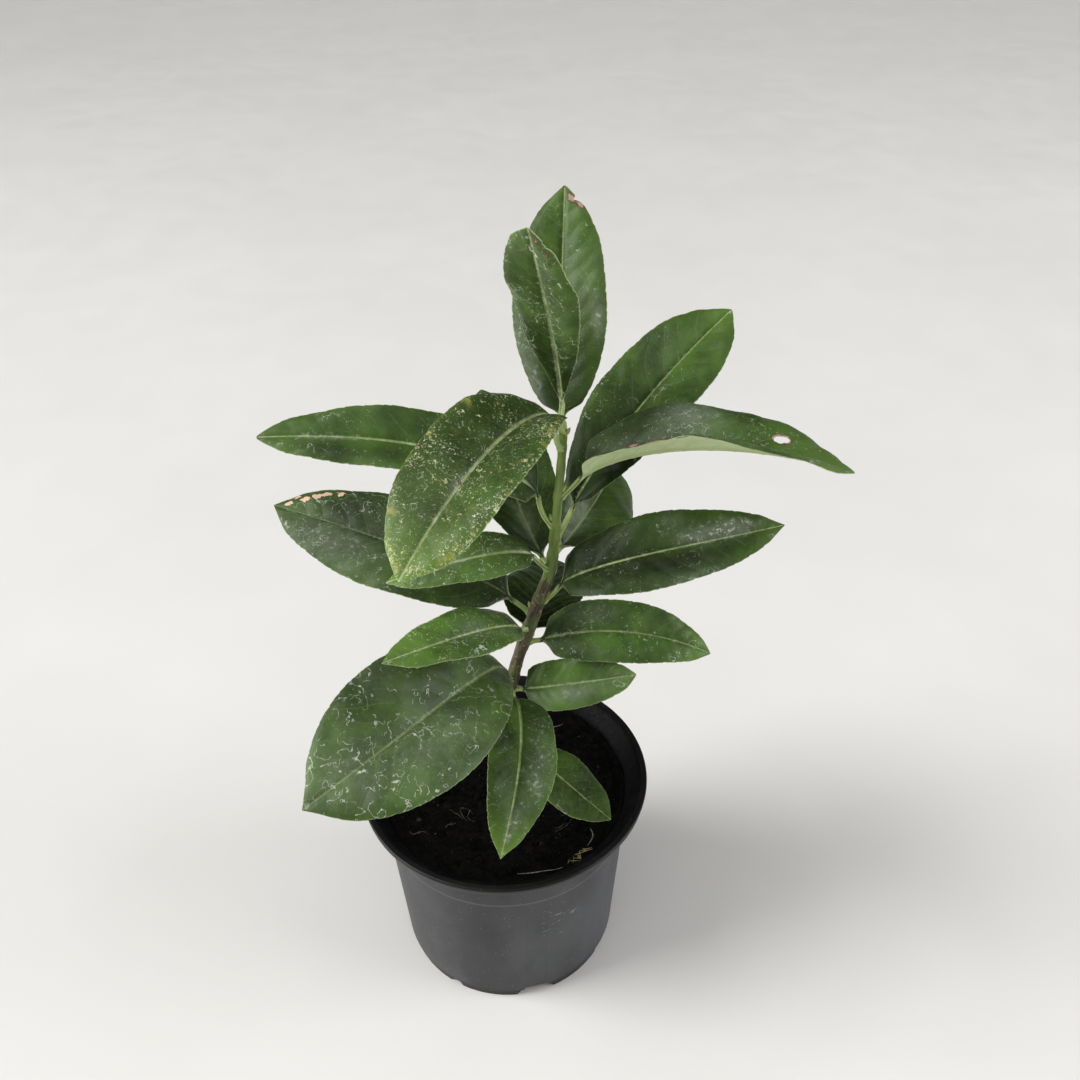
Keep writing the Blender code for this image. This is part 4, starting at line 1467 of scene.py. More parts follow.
LEAVES: tuple[LeafForm, ...] = (
    LeafForm("leaf_crown_back", 276.5, 92, 78, 10, 0.79, -10, 5.2, 79, 33.9, 0.54, 1.47, 0.86, 15, -9, -7),
    LeafForm("leaf_crown_front", 279.5, -111, 96, 42, 0.33, 7, 10, 83, 24.8, 0.58, 1.61, 1.25, 7, 179, -21),
    LeafForm("leaf_speckled", 272.6, -121, 82, 116, 0.31, -2, 12.8, 97, 38.5, 0.53, 1.32, 0.99, 22, -9, 0),
    LeafForm("leaf_holed", 251.8, -5, 64, 71, 0.3, -20, 9.6, 99, 40.9, 0.53, 1.14, 0.74, 33, -3, -12),
    LeafForm("leaf_upper_left", 239.1, 187, 80, 80, 0.3, -2, 13.3, 106, 27, 0.47, 1.0, 0.67, 19, -33, 1),
    LeafForm("leaf_upper_right", 232.9, 40, 63, 30, 0.3, -12, 10.8, 97, 37.4, 0.55, 1.35, 0.99, 19, 11, 12),
    LeafForm("leaf_back_right", 224.5, 61, 2, 7, 0.83, 17, 3.9, 73, 35.6, 0.54, 1.18, 1.25, 10, 29, 22),
    LeafForm("leaf_back_left", 219.7, 123, 31, -18, 0.41, -12, 2.4, 72, 37.4, 0.55, 1.45, 0.94, 22, -2, 4),
    LeafForm("leaf_left_small", 219.6, -151, 69, 90, 0.3, -27, 8.4, 60, 19.5, 0.44, 1.19, 0.86, 2, -26, 4),
    LeafForm("leaf_right_long", 203.7, -18, 67, 63, 0.3, 32, 9.2, 92, 30.1, 0.46, 1.44, 0.86, 12, 28, 17),
    LeafForm("leaf_spotted", 197, 169, 53, 49, 0.3, -11, 7.1, 106, 43.5, 0.48, 1.41, 0.98, 3, -17, -6),
    LeafForm("leaf_left_lower", 190.5, -128, 64, 58, 0.3, -16, 2, 72, 23.5, 0.42, 1.23, 1.12, 10, -21, 11),
    LeafForm("leaf_back_low", 184.9, 76, -9, 8, 0.81, 15, 2, 78, 35.8, 0.47, 1.23, 0.93, 9, 5, -3),
    LeafForm("leaf_right_lower", 182.2, -5, 24, 54, 0.92, 3, 3.2, 72, 26.1, 0.43, 1.15, 0.93, 9, 40, -2),
    LeafForm("leaf_large_front", 163.6, -114, 79, 97, 0.3, -33, 8.8, 111, 54.4, 0.51, 1.7, 1.25, 14, -24, -3),
    LeafForm("leaf_right_small", 157.1, -20, 23, 0, 0.8, 5, 2, 52, 21.4, 0.4, 1.0, 0.89, 13, 48, 13),
    LeafForm("leaf_front_centre", 156.9, -77, 32, 80, 0.72, -36, 6.2, 76, 29.1, 0.45, 1.55, 1.13, 21, -21, -9),
    LeafForm("leaf_front_low", 133, -45, -9, 13, 0.82, 11, 6.3, 51, 23.9, 0.51, 1.42, 1.01, 0, 7, 0),
)

BUDDED = ("leaf_holed", "leaf_upper_left", "leaf_spotted", "leaf_right_long", "leaf_right_lower")

# Each leaf's shade is painted light and shade, low for leaves in shade and high for brightly lit ones; its
# haze is partly dust and partly painted sheen.
LOOKS: dict[str, LeafLook] = {
    "leaf_crown_back": LeafLook(lime=0.3, specks=0.5, fresh=0.15, rib=0.6, crust=0.5),
    "leaf_crown_front": LeafLook(lime=0.75, specks=0.9, haze=0.1, fresh=0.3, rib=1.0, rib_width=1.7, rim=0.7),
    "leaf_speckled": LeafLook(
        lime=0.1, specks=0.7, haze=0.2, fresh=0.95, cream=0.88, yellow=0.55, rib=1.0, rib_width=1.7,
        shade=0.9, crust=1.0,
    ),
    "leaf_holed": LeafLook(lime=0.3, specks=0.8, haze=0.4, fresh=0.6, crust=0.35),
    "leaf_upper_left": LeafLook(
        lime=0.3, specks=0.6, fresh=0.3, rib=1.0, rib_width=1.3, shade=1.3, crust=0.9
    ),
    "leaf_upper_right": LeafLook(lime=0.25, specks=0.6, haze=0.2, fresh=0.3, shade=1.15, gloss=0.6),
    "leaf_back_right": LeafLook(lime=0.0, specks=0.1, fresh=0.1, rib=0.5, shade=0.6, gloss=0.5),
    "leaf_back_left": LeafLook(lime=0.0, specks=0.3, haze=0.2, fresh=0.1, rib=0.5, shade=0.6, gloss=0.5),
    "leaf_left_small": LeafLook(
        lime=0.45, specks=0.9, haze=0.2, fresh=0.75, cream=0.4, rib=1.0, rib_width=1.2, shade=1.35,
        crust=0.8,
    ),
    "leaf_right_long": LeafLook(lime=0.1, specks=0.5, haze=0.2, shade=0.85, gloss=0.75, crust=1.0),
    "leaf_spotted": LeafLook(lime=0.4, specks=0.6, fresh=0.2, rib=0.3, shade=0.85, crust=0.5),
    "leaf_left_lower": LeafLook(
        lime=0.5, specks=1.0, haze=0.2, fresh=0.45, cream=0.35, rib=1.0, rib_width=1.2, shade=1.6,
        crust=0.7,
    ),
    "leaf_back_low": LeafLook(lime=0.0, specks=0.0, haze=0.0, fresh=0.0, rib=0.3, shade=0.12, gloss=0.15),
    "leaf_right_lower": LeafLook(lime=0.3, specks=0.9, haze=0.4, fresh=0.45, shade=1.6),
    "leaf_large_front": LeafLook(lime=1.0, specks=0.5, haze=0.7, fresh=0.15, rib=0.42, rib_width=1.5),
    "leaf_right_small": LeafLook(lime=0.2, specks=0.5, haze=0.6, fresh=0.4, rib=0.6, shade=1.7),
    "leaf_front_centre": LeafLook(
        lime=0.2, specks=0.6, haze=0.1, fresh=0.85, rib=0.9, rib_width=1.4, rim=0.6, gloss=0.45,
        crust=0.9,
    ),
    "leaf_front_low": LeafLook(lime=0.0, specks=0.3, fresh=0.15, rib=0.5, shade=0.6, gloss=0.6),
}

# The film marks are partly a pale film of dried water and partly painted sheen; the darker patches are painted
# shade.
BLEMISHES: dict[str, tuple[Blemish, ...]] = {
    "leaf_crown_back": (
        *marks(Mark.BITE, (0.945, -1.0, 0.01, 0.36)),
        *marks(Mark.SCAR, (0.95, -0.56, 0.026, 0.36), (0.922, -0.85, 0.018, 0.2), (1.0, 0.0, 0.01, 1.0)),
        *marks(Mark.FILM_AND_SHEEN, (0.62, -0.55, 0.16, 0.4, 0.2), (0.46, -0.84, 0.09, 0.15, 1.4)),
        *marks(Mark.FILM_AND_SHEEN, (0.26, 0.9, 0.24, 0.34, 1.4)),
        *marks(Mark.PAINTED_SHADE, (0.24, -0.55, 0.2, 0.5, 0.9)),
    ),
    "leaf_crown_front": (
        *marks(Mark.BITE, (0.935, -1.0, 0.014, 0.22)),
        *marks(Mark.SCAR, (0.95, -0.5, 0.03, 0.3, 0.6), (0.9, -0.66, 0.026, 0.22, 0.6)),
        *marks(Mark.SCAR, (0.855, -0.62, 0.02, 0.16, 0.5)),
        *marks(Mark.FILM_AND_SHEEN, (0.55, -0.55, 0.3, 0.5, 0.15)),
    ),
    "leaf_speckled": (
        *marks(Mark.SCAR, (0.62, -0.02, 0.006, 0.035), (0.58, -0.97, 0.01, 0.03)),
        *marks(Mark.FILM_AND_SHEEN, (0.64, -0.03, 0.06, 0.06, 2.0)),
        *marks(Mark.PAINTED_SHADE, (0.36, -0.6, 0.22, 0.6, 0.8)),
    ),
    "leaf_holed": (
        *marks(Mark.HOLE, (0.735, 0.37, 0.0286, 0.115)),
        *marks(Mark.BITE, (0.345, -1.0, 0.045, 0.13)),
        *marks(Mark.SCAR, (0.345, -0.92, 0.06, 0.2, 0.85), (0.43, -0.86, 0.026, 0.12, 0.85)),
        *marks(Mark.SCAR, (0.27, -0.92, 0.035, 0.16, 0.85)),
        *marks(Mark.FILM_AND_SHEEN, (0.42, 0.6, 0.12, 0.5)),
        *marks(Mark.PAINTED_SHADE, (0.22, 0.3, 0.16, 0.9, 0.8)),
    ),
    "leaf_upper_right": (
        *marks(Mark.PAINTED_SHADE, (0.18, 0.00, 0.3, 2.2, 1.5)),
        *marks(Mark.FILM_AND_SHEEN, (0.7, 0.3, 0.15, 0.3, 0.3)),
    ),
    "leaf_back_right": (
        *marks(Mark.FILM_AND_SHEEN, (0.22, 0.35, 0.2, 0.45, 2.6)),
        *marks(Mark.PAINTED_SHADE, (0.6, 0.1, 0.25, 0.9, 0.5)),
    ),
    "leaf_back_left": (
        *marks(Mark.FILM_AND_SHEEN, (0.2, 0.02, 0.12, 0.22)),
        *marks(Mark.PAINTED_SHADE, (0.5, 0.6, 0.5, 0.6, 0.8)),
    ),
    "leaf_spotted": (
        *marks(Mark.BLOT, (0.945, -0.42, 0.014, 0.18), (0.925, -0.82, 0.01, 0.12)),
        *marks(Mark.BLOT, (0.89, -0.57, 0.017, 0.12), (0.855, -0.68, 0.022, 0.11)),
        *marks(Mark.BLOT, (0.82, -0.8, 0.02, 0.09), (0.77, -0.82, 0.015, 0.08)),
        *marks(Mark.FILM_AND_SHEEN, (0.72, 0.45, 0.22, 0.5, 0.8)),
        *marks(Mark.PAINTED_SHADE, (0.66, -0.5, 0.24, 0.5, 0.8)),
    ),
    "leaf_right_long": (
        *marks(Mark.SCAR, (1.0, 0.0, 0.01, 1.0)),
        *marks(Mark.FILM_AND_SHEEN, (0.68, 0.2, 0.13, 0.26, 1.3), (0.8, 0.3, 0.09, 0.35, 1.3)),
        *marks(Mark.FILM_AND_SHEEN, (0.56, 0.7, 0.05, 0.35, 0.4), (0.58, -0.92, 0.16, 0.14, 0.5)),
        *marks(Mark.PAINTED_SHADE, (0.28, 0.2, 0.3, 1.2, 1.0), (0.55, -0.4, 0.32, 0.35, 0.9)),
    ),
    "leaf_upper_left": (
        *marks(Mark.SCAR, (1.0, 0.0, 0.008, 1.0)),
        *marks(Mark.PAINTED_SHADE, (0.65, 0.6, 0.4, 0.5, 0.5)),
        *marks(Mark.FILM_AND_SHEEN, (0.78, 0.06, 0.14, 0.1, 0.8)),
    ),
    "leaf_left_small": (
        *marks(Mark.BITE, (0.955, 1.0, 0.015, 0.25)),
        *marks(Mark.FILM_AND_SHEEN, (0.6, 0.00, 0.16, 0.3, 0.8)),
    ),
    "leaf_left_lower": marks(Mark.FILM_AND_SHEEN, (0.42, -0.1, 0.12, 0.4, 0.6)),
    "leaf_right_lower": marks(Mark.FILM_AND_SHEEN, (0.32, 0.55, 0.14, 0.35, 0.6)),
    "leaf_large_front": (
        *marks(Mark.PAINTED_SHADE, (0.45, -0.55, 0.25, 0.5, 0.55)),
        *marks(Mark.FILM_AND_SHEEN, (0.52, 0.45, 0.2, 0.45, 0.5), (0.84, -0.1, 0.13, 0.6, 0.5)),
    ),
    "leaf_right_small": marks(Mark.FILM_AND_SHEEN, (0.45, -0.35, 0.17, 0.42, 1.2)),
    "leaf_front_centre": (
        *marks(Mark.FILM_AND_SHEEN, (0.55, 0.5, 0.3, 0.4, 0.65), (0.82, 0.12, 0.12, 0.25, 0.9)),
        *marks(Mark.PAINTED_SHADE, (0.45, -0.5, 0.36, 0.5, 0.55)),
    ),
}


@dataclass
class Leaf:
    """Fine mesh of one leaf, on the same form as its solid."""

    form: LeafForm
    stem: Stem
    look: LeafLook
    blemishes: tuple[Blemish, ...] = ()
    station: float = 0.52
    column: float = 0.95
    thickness: float = 0.42
    keel: float = 1.0
    side_keel: float = 0.14
    groove: float = 0.24
    flank: float = 0.14
    quilt: float = 0.16
    sunk: float = 0.12
    swell: float = 0.28
    curl: float = 0.38
    wave: float = 0.8
    petiole_radius: float = 1.05
    tooth_pitch: float = 3.1
    tooth: float = 0.34
    vein_count: float = 11.0
    petiole_rings: int = 26
    midrib_steps: int = 600
    skin: LeafSkin = field(default_factory=LeafSkin)

    def seed(self) -> float:
        """Number that sets this leaf's random forms apart."""
        return 7.13 * self.form.height + 3.7 * self.form.heading

    def out(self) -> Array:
        """Level direction in which the leaf leaves the stem."""
        return heading_vectors(self.form.heading, 0.0)

    def directions(self, u: Array) -> Array:
        """Direction of the midrib at shares u of the length."""
        form = self.form
        return heading_vectors(form.heading + form.sweep * u, form.rise - form.droop * u**form.bend)

    def foot(self) -> Array:
        """Where the petiole ends and the blade begins.

        Returns:
            The point.
        """
        form = self.form
        clear = 0.3 + math.sin(math.radians(max(form.rise, 0.0)))
        beside = self.stem.centre(form.height) + self.out() * (self.stem.radius(form.height) + clear)
        return beside + heading_vectors(form.heading, form.rise) * form.petiole

    def frames(self, u: Array) -> tuple[Array, Array, Array]:
        """Place and attitude of the blade along its midrib.

        Args:
            u: Shares of the length.

        Returns:
            Midrib point, sideways vector and upward vector for each.
        """
        form = self.form
        count = self.midrib_steps
        middles = (np.arange(count) + 0.5) / count
        steps = self.directions(middles) * (form.length / count)
        path = np.vstack([self.foot(), self.foot() + np.cumsum(steps, axis=0)])
        grid = np.linspace(0.0, 1.0, count + 1)
        point = np.stack([np.interp(u, grid, path[:, k]) for k in range(3)], axis=-1)
        along = self.directions(u)
        turn = np.radians(form.heading + form.sweep * u)
        side = np.stack([-np.sin(turn), np.cos(turn), np.zeros_like(turn)], axis=-1)
        upward = np.cross(along, side)
        rolled = np.radians(form.roll + form.twist * u)[..., None]
        across = side * np.cos(rolled) + upward * np.sin(rolled)
        normal = upward * np.cos(rolled) - side * np.sin(rolled)
        return point, across, normal

    def half_width(self, u: Array) -> Array:
        """Half the blade's width, before its margin is cut.

        Args:
            u: Shares of the length.

        Returns:
            The half width at each.
        """
        form = self.form
        u = np.clip(u, 1e-6, 1.0 - 1e-6)
        before = (u / form.widest) ** (form.pointed * form.widest * form.taper)
        blunt = 0.14 * smooth(u, 0.9, 1.0)
        after = ((1.0 - u) / (1.0 - form.widest)) ** (form.pointed * (1.0 - form.widest) + blunt)
        return form.width / 2.0 * before * after

    def margin(self, u: Array, side: float) -> Array:
        """Distance from the midrib to the margin, with teeth and bites.

        Args:
            u: Shares of the length.
            side: 1 for the left margin and -1 for the right.

        Returns:
            The distance at each.
        """
        form = self.form
        width = self.half_width(u)
        phase = np.mod(u * form.length / self.tooth_pitch + 0.31 * side + self.seed(), 1.0)
        uneven = 0.6 + 0.4 * np.sin(u * form.length * 0.9 + self.seed() + side)
        bitten = self.tooth * uneven * (1.0 - phase) * smooth(width, 2.0, 6.0)
        for mark in self.blemishes:
            if mark.kind is Mark.BITE and mark.across * side > 0.0:
                gap = (u - mark.along) / mark.reach_along
                ragged = 1.0 + 0.35 * np.sin(23.0 * gap + 1.0) + 0.2 * np.sin(51.0 * gap)
                bitten = bitten + width * mark.reach_across * np.exp(-(gap**4)) * ragged * 0.8
        return np.maximum(width - bitten, 0.05)

    def vein_place(self, u: Array, x: Array) -> Array:
        """Running number of the side veins: halfway between whole numbers lies a vein.

        Args:
            u: Shares of the length.
            x: Distances from the midrib.

        Returns:
            The number at each place.
        """
        form = self.form
        spacing = form.length / self.vein_count
        reach = np.abs(x)
        bent = u * form.length - 0.58 * reach - 0.033 * reach**2
        wander = 0.10 * np.sin(0.35 * u * form.length + self.seed())
        return bent / spacing + np.where(x > 0.0, 0.45, 0.0) + wander

    def relief(self, u: Array, x: Array, margin: Array) -> Array:
        """Fine relief of the upper face: groove, veins, quilting and curled margin.

        Args:
            u: Shares of the length.
            x: Distances from the midrib.
            margin: Distances of the margin.

        Returns:
            Its height at each place.
        """
        reach = np.abs(x)
        width = self.half_width(u)
        ends = smooth(width, 1.0, 7.0)
        groove = -self.groove * np.exp(-((x / 0.5) ** 2)) * (1.0 - 0.6 * u)
        flank = self.flank * np.exp(-(((reach - 1.6) / 1.0) ** 2))
        place = self.vein_place(u, x)
        gap = np.abs(np.mod(place, 1.0) - 0.5)
        fade = smooth(reach, 0.3, 2.0) * (1.0 - smooth(reach / np.maximum(width, 0.1), 0.72, 1.0))
        quilt = self.quilt * (0.5 + 0.5 * np.cos(2.0 * math.pi * place)) * fade
        sunk = -self.sunk * np.exp(-((gap / 0.075) ** 2)) * fade
        s = u * self.form.length
        seed = self.seed()
        swell = self.swell * np.sin(0.23 * s + 0.19 * x + seed) * np.sin(0.31 * x - 0.11 * s + 2.0 * seed)
        swell += 0.12 * np.sin(0.52 * s - 0.37 * x + 3.0 * seed)
        brim = smooth(reach, np.maximum(margin - 2.4, 0.0), np.maximum(margin, 0.1))
        curl = -self.curl * brim * smooth(width, 3.0, 8.0)
        return (groove + flank + quilt + sunk) * ends + swell * smooth(reach, 0.5, 7.0) * ends + curl

    def upper(self, u: Array, x: Array, margin: Array) -> tuple[Array, Array]:
        """The upper face.

        Args:
            u: Shares of the length.
            x: Distances from the midrib.
            margin: Distances of the margin.

        Returns:
            Its points and its upward vectors.
        """
        form = self.form
        point, across, normal = self.frames(u)
        width = self.half_width(u)
        slope = np.radians(form.fold) * (1.0 - u**3)
        v = np.clip(x / np.maximum(width, 0.05), -1.0, 1.0)
        phase = form.height * 0.7 + np.where(v > 0.0, 1.9, 0.0)
        fade = np.minimum(1.0, 6.0 * (1.0 - u)) * np.minimum(1.0, width / 10.0)
        wave = self.wave * np.sin(2.0 * math.pi * 2.5 * u + phase) * fade
        height = np.abs(x) * (np.sin(slope) + 0.28 * (1.0 - np.abs(v))) + wave * v * v
        height = height + self.relief(u, x, margin)
        return point + across * (x * np.cos(slope))[..., None] + normal * height[..., None], normal

    def depth(self, u: Array, x: Array, margin: Array) -> Array:
        """Thickness of the blade, with the raised rib and side veins of its lower face.

        Args:
            u: Shares of the length.
            x: Distances from the midrib.
            margin: Distances of the margin.

        Returns:
            The thickness at each place.
        """
        reach = np.abs(x)
        base = self.thickness * (1.0 - 0.4 * smooth(reach, margin - 1.5, margin))
        radius = 1.0 - 0.55 * u
        round_rib = np.sqrt(np.clip(1.0 - (reach / radius) ** 2, 0.0, 1.0))
        rib = self.keel * np.maximum(1.0 - u, 0.0) ** 0.9 * round_rib
        gap = np.abs(np.mod(self.vein_place(u, x), 1.0) - 0.5)
        fade = 1.0 - smooth(reach / np.maximum(margin, 0.1), 0.6, 0.95)
        side = self.side_keel * np.exp(-((gap / 0.07) ** 2)) * fade
        return base + rib + side * smooth(self.half_width(u), 2.0, 6.0)

    def columns(self) -> Array:
        """Places across the blade from -1 to 1, closer together at the midrib and the margin.

        Returns:
            The places.
        """
        count = int(np.clip(round(self.form.width / 2.0 / self.column), 12, 26))
        t = np.linspace(0.0, 1.0, count + 1)
        half = 0.6 * 0.5 * (1.0 - np.cos(math.pi * t)) + 0.4 * t
        return np.concatenate([-half[:0:-1], half])

    def section(self, columns: Array) -> Array:
        """Round section of the petiole, grooved above.

        Args:
            columns: Places across the blade.

        Returns:
            Sideways and upward share of the radius, in the order of a blade's ring.
        """
        turn = np.radians(90.0 - 78.0 * columns)
        groove = 1.0 - 0.42 * np.exp(-((columns / 0.35) ** 2))
        upper = np.stack([-np.cos(turn), np.sin(turn) * groove * 0.9], axis=-1)
        lower = np.stack([-np.cos(turn), -np.sin(turn)], axis=-1)[::-1]
        return np.concatenate([upper, [[1.0, 0.0]], lower, [[-1.0, 0.0]]])

    def mark_field(self, kind: Mark, u: Array, x: Array) -> Array:
        """How deep places lie inside the marks of one kind.

        Args:
            kind: The kind of mark.
            u: Shares of the length.
            x: Distances from the midrib.

        Returns:
            The mark's strength in its middle, less as a place is farther out.
        """
        v = x / np.maximum(self.half_width(u), 0.5)
        depth = np.full(u.shape, -1.0)
        for mark in self.blemishes:
            if mark.kind is kind:
                depth = np.maximum(depth, mark.weight - mark.gap(u, v))
            elif mark.kind is Mark.HOLE and kind is Mark.SCAR:
                depth = np.maximum(depth, 0.85 - 3.2 * np.abs(mark.gap(u, v) - 1.0))
        return depth

    def soft_field(self, kind: Mark, u: Array, x: Array) -> Array:
        """How strongly the soft marks of one kind cover places.

        Args:
            kind: The kind of mark.
            u: Shares of the length.
            x: Distances from the midrib.

        Returns:
            The cover at each place, from 0 to 1.
        """
        v = x / np.maximum(self.half_width(u), 0.5)
        cover = np.zeros(u.shape)
        for mark in self.blemishes:
            if mark.kind is kind:
                cover += mark.weight * np.exp(-1.5 * mark.gap(u, v) ** 2)
        return np.minimum(cover, 1.0)

    def bore(self, u: Array, x: Array) -> tuple[Array, Array, Array]:
        """Snap grid points round each hole to its edge.

        Args:
            u: Share of the length at each grid point.
            x: Distance from the midrib at each grid point.

        Returns:
            The new u and x, and which cells of the grid are gone.
        """
        gone = np.zeros((u.shape[0] - 1, u.shape[1] - 1), dtype=bool)
        for mark in self.blemishes:
            if mark.kind is not Mark.HOLE:
                continue
            width = float(self.half_width(np.array(mark.along)))
            centre = (mark.along * self.form.length, mark.across * width)
            reach = (mark.reach_along * self.form.length, mark.reach_across * width)
            a = (u * self.form.length - centre[0]) / reach[0]
            b = (x - centre[1]) / reach[1]
            middle_a = 0.25 * (a[1:, 1:] + a[1:, :-1] + a[:-1, 1:] + a[:-1, :-1])
            middle_b = 0.25 * (b[1:, 1:] + b[1:, :-1] + b[:-1, 1:] + b[:-1, :-1])
            inside = np.hypot(middle_a, middle_b) < 1.0
            gone |= inside
            touch_gone = np.zeros(u.shape, dtype=bool)
            touch_kept = np.zeros(u.shape, dtype=bool)
            for rows in (slice(0, -1), slice(1, None)):
                for cols in (slice(0, -1), slice(1, None)):
                    touch_gone[rows, cols] |= inside
                    touch_kept[rows, cols] |= ~inside
            rim = touch_gone & touch_kept
            angle = np.arctan2(b, a)
            ragged = 1.0 + 0.07 * np.sin(3.0 * angle + 1.0) + 0.05 * np.sin(7.0 * angle)
            far = np.maximum(np.hypot(a, b), 1e-6)
            u = np.where(rim, (centre[0] + reach[0] * a / far * ragged) / self.form.length, u)
            x = np.where(rim, centre[1] + reach[1] * b / far * ragged, x)
        return u, x, gone

    def grid(self) -> tuple[Array, Array, Array, Array]:
        """Grid of the blade.

        Returns:
            Share u, distance x and distance of the margin at its points, and its bored cells.
        """
        count = int(round(self.form.length / self.station))
        t = np.linspace(0.0, 1.0, count + 1)
        u = t + 0.5 * (t**12) * (1.0 - t)
        columns = self.columns()
        left = self.margin(u, 1.0)[:, None]
        right = self.margin(u, -1.0)[:, None]
        reach = np.where(columns[None, :] > 0.0, left, right)
        x = columns[None, :] * reach
        uu = np.repeat(u[:, None], len(columns), axis=1)
        uu, x, gone = self.bore(uu, x)
        return uu, x, reach, gone

    def petiole_ring(self, t: float, section: Array) -> Array:
        """One ring of the petiole.

        Args:
            t: Share of the way from the stem to the blade.
            section: The petiole's section.

        Returns:
            The ring's points.
        """
        form = self.form
        slope = max(min(form.rise, 45.0), -45.0)
        out = self.out()
        start = self.stem.centre(form.height) + out * (self.stem.radius(form.height) - 0.9)
        end, end_across, end_normal = (part[0] for part in self.frames(np.array([0.0])))
        end = end - end_normal * 0.7
        reach = float(np.linalg.norm(end - start))
        leave = start + heading_vectors(form.heading, slope) * (0.45 * reach)
        middle = start * (1 - t) ** 2 + leave * (2 * t * (1 - t)) + end * t**2
        along = (leave - start) * (1 - t) + (end - leave) * t
        along /= np.linalg.norm(along)
        side = np.array([-out[1], out[0], 0.0]) * (1.0 if abs(form.roll) < 90.0 else -1.0)
        across = side * (1 - t) + end_across * t
        across -= along * float(across @ along)
        across /= np.linalg.norm(across)
        upward = np.cross(along, across)
        far = t * reach
        size = self.petiole_radius * (1.0 + 0.55 * math.exp(-((far / 1.7) ** 2)))
        return middle + (across * section[:, :1] + upward * section[:, 1:]) * size

    def mesh(self) -> bpy.types.Mesh:
        """Skin the petiole and the blade as one closed thin body with its attributes.

        Returns:
            The mesh.
        """
        u, x, margin, gone = self.grid()
        top, normal = self.upper(u, x, margin)
        low = top - normal * self.depth(u, x, margin)[..., None]
        section = self.section(self.columns())
        middle_left = 0.5 * (top[:, -1] + low[:, -1]) + (top[:, -1] - top[:, -2]) * 0.2
        middle_right = 0.5 * (top[:, 0] + low[:, 0]) + (top[:, 0] - top[:, 1]) * 0.2
        rings = np.concatenate([top, middle_left[:, None], low[:, ::-1], middle_right[:, None]], axis=1)

        point, across, upward = self.frames(u[:, 0])
        centre = point - upward * (0.7 * self.petiole_radius)
        shrink = 1.0 - 0.25 * smooth(u[:, 0], 0.0, 0.1)
        stalk = centre[:, None] + self.petiole_radius * shrink[:, None, None] * (
            across[:, None] * section[None, :, :1] + upward[:, None] * section[None, :, 1:]
        )
        share = (1.0 - smooth(u[:, 0], 0.0, 0.085))[:, None, None]
        rings = rings * (1.0 - share) + stalk * share

        count = self.petiole_rings
        foot = np.stack([self.petiole_ring(k / count, section) for k in range(count)])
        every = np.concatenate([foot, rings])
        faces = ring_faces(len(every), every.shape[1])
        if gone.any():
            faces = self.open_holes(faces, gone, every.shape[1])
        mesh = mesh_from_arrays(self.piece(), every.reshape(-1, 3), faces)
        self.store_all(mesh, u, x, margin)
        return mesh

    def open_holes(self, faces: list[Face], gone: Array, size: int) -> list[Face]:
        """Take out the bored cells on both faces and wall the holes between them.

        Args:
            faces: All faces of the leaf.
            gone: Which cells of the blade's grid are bored away.
            size: Points in a ring.

        Returns:
            The faces that stay, and the walls.
        """
        cols = gone.shape[1] + 1

        def top(k: int, j: int) -> int:
            """Number of a grid point on the upper face."""
            return (self.petiole_rings + k) * size + j

        def low(k: int, j: int) -> int:
            """Number of the same grid point on the lower face."""
            return (self.petiole_rings + k) * size + cols + 1 + (cols - 1 - j)

        lost = set()
        walls = []
        for k, j in zip(*np.nonzero(gone)):
            lost.add(frozenset((top(k, j), top(k + 1, j), top(k + 1, j + 1), top(k, j + 1))))
            lost.add(frozenset((low(k, j), low(k + 1, j), low(k + 1, j + 1), low(k, j + 1))))
            for (k1, j1), (k2, j2), (kn, jn) in (
                ((k, j), (k, j + 1), (k - 1, j)),
                ((k + 1, j + 1), (k + 1, j), (k + 1, j)),
                ((k + 1, j), (k, j), (k, j - 1)),
                ((k, j + 1), (k + 1, j + 1), (k, j + 1)),
            ):
                if not gone[kn, jn]:
                    walls.append((top(k1, j1), top(k2, j2), low(k2, j2), low(k1, j1)))
        return [face for face in faces if frozenset(face) not in lost] + walls

    def store_all(self, mesh: bpy.types.Mesh, u: Array, x: Array, margin: Array) -> None:
        """Keep the blade's own coordinates and marks on the mesh's points.

        Args:
            mesh: The leaf's mesh.
            u: Shares of the length at the grid's points.
            x: Distances from the midrib.
            margin: Distances of the margin.
        """
        count = self.petiole_rings
        fields = {
            "along": (u, np.linspace(-0.6, -0.01, count)),
            "rib": (np.abs(x), 0.0),
            "edge": (np.maximum(margin - np.abs(x), 0.0), 9.0),
            "vein": (self.vein_place(u, x), 0.0),
            "scar": (self.mark_field(Mark.SCAR, u, x), -1.0),
            "blot": (self.mark_field(Mark.BLOT, u, x), -1.0),
            "film": (self.soft_field(Mark.FILM_AND_SHEEN, u, x), 0.0),
            "painted_shade": (self.soft_field(Mark.PAINTED_SHADE, u, x), 0.0),
        }
        for name, (values, foot) in fields.items():
            blade = np.concatenate([values, values[:, -1:], values[:, ::-1], values[:, :1]], axis=1)
            petiole = np.repeat(np.broadcast_to(foot, count)[:, None], blade.shape[1], axis=1)
            store(mesh, name, np.concatenate([petiole, blade]))
        middle = np.full((len(u), 1), 0.5)
        below = np.concatenate([np.zeros_like(u), middle, np.ones_like(u), middle], axis=1)
        store(mesh, "under", np.concatenate([np.zeros((count, below.shape[1])), below]))

    def piece(self) -> str:
        """Name of this leaf's piece."""
        return self.form.node.replace("leaf_", "laurel_leaf_")

    def build(self) -> Pieces:
        """Grow and dress the leaf.

        Returns:
            The piece, its material slot and the node that it stands for.
        """
        mesh = self.mesh()
        mesh.materials.append(self.skin.make(self.form.node + "_skin", self.look, self.seed()))
        return [(link_object(self.piece(), mesh), "leaf_green", self.form.node)]


# Studio


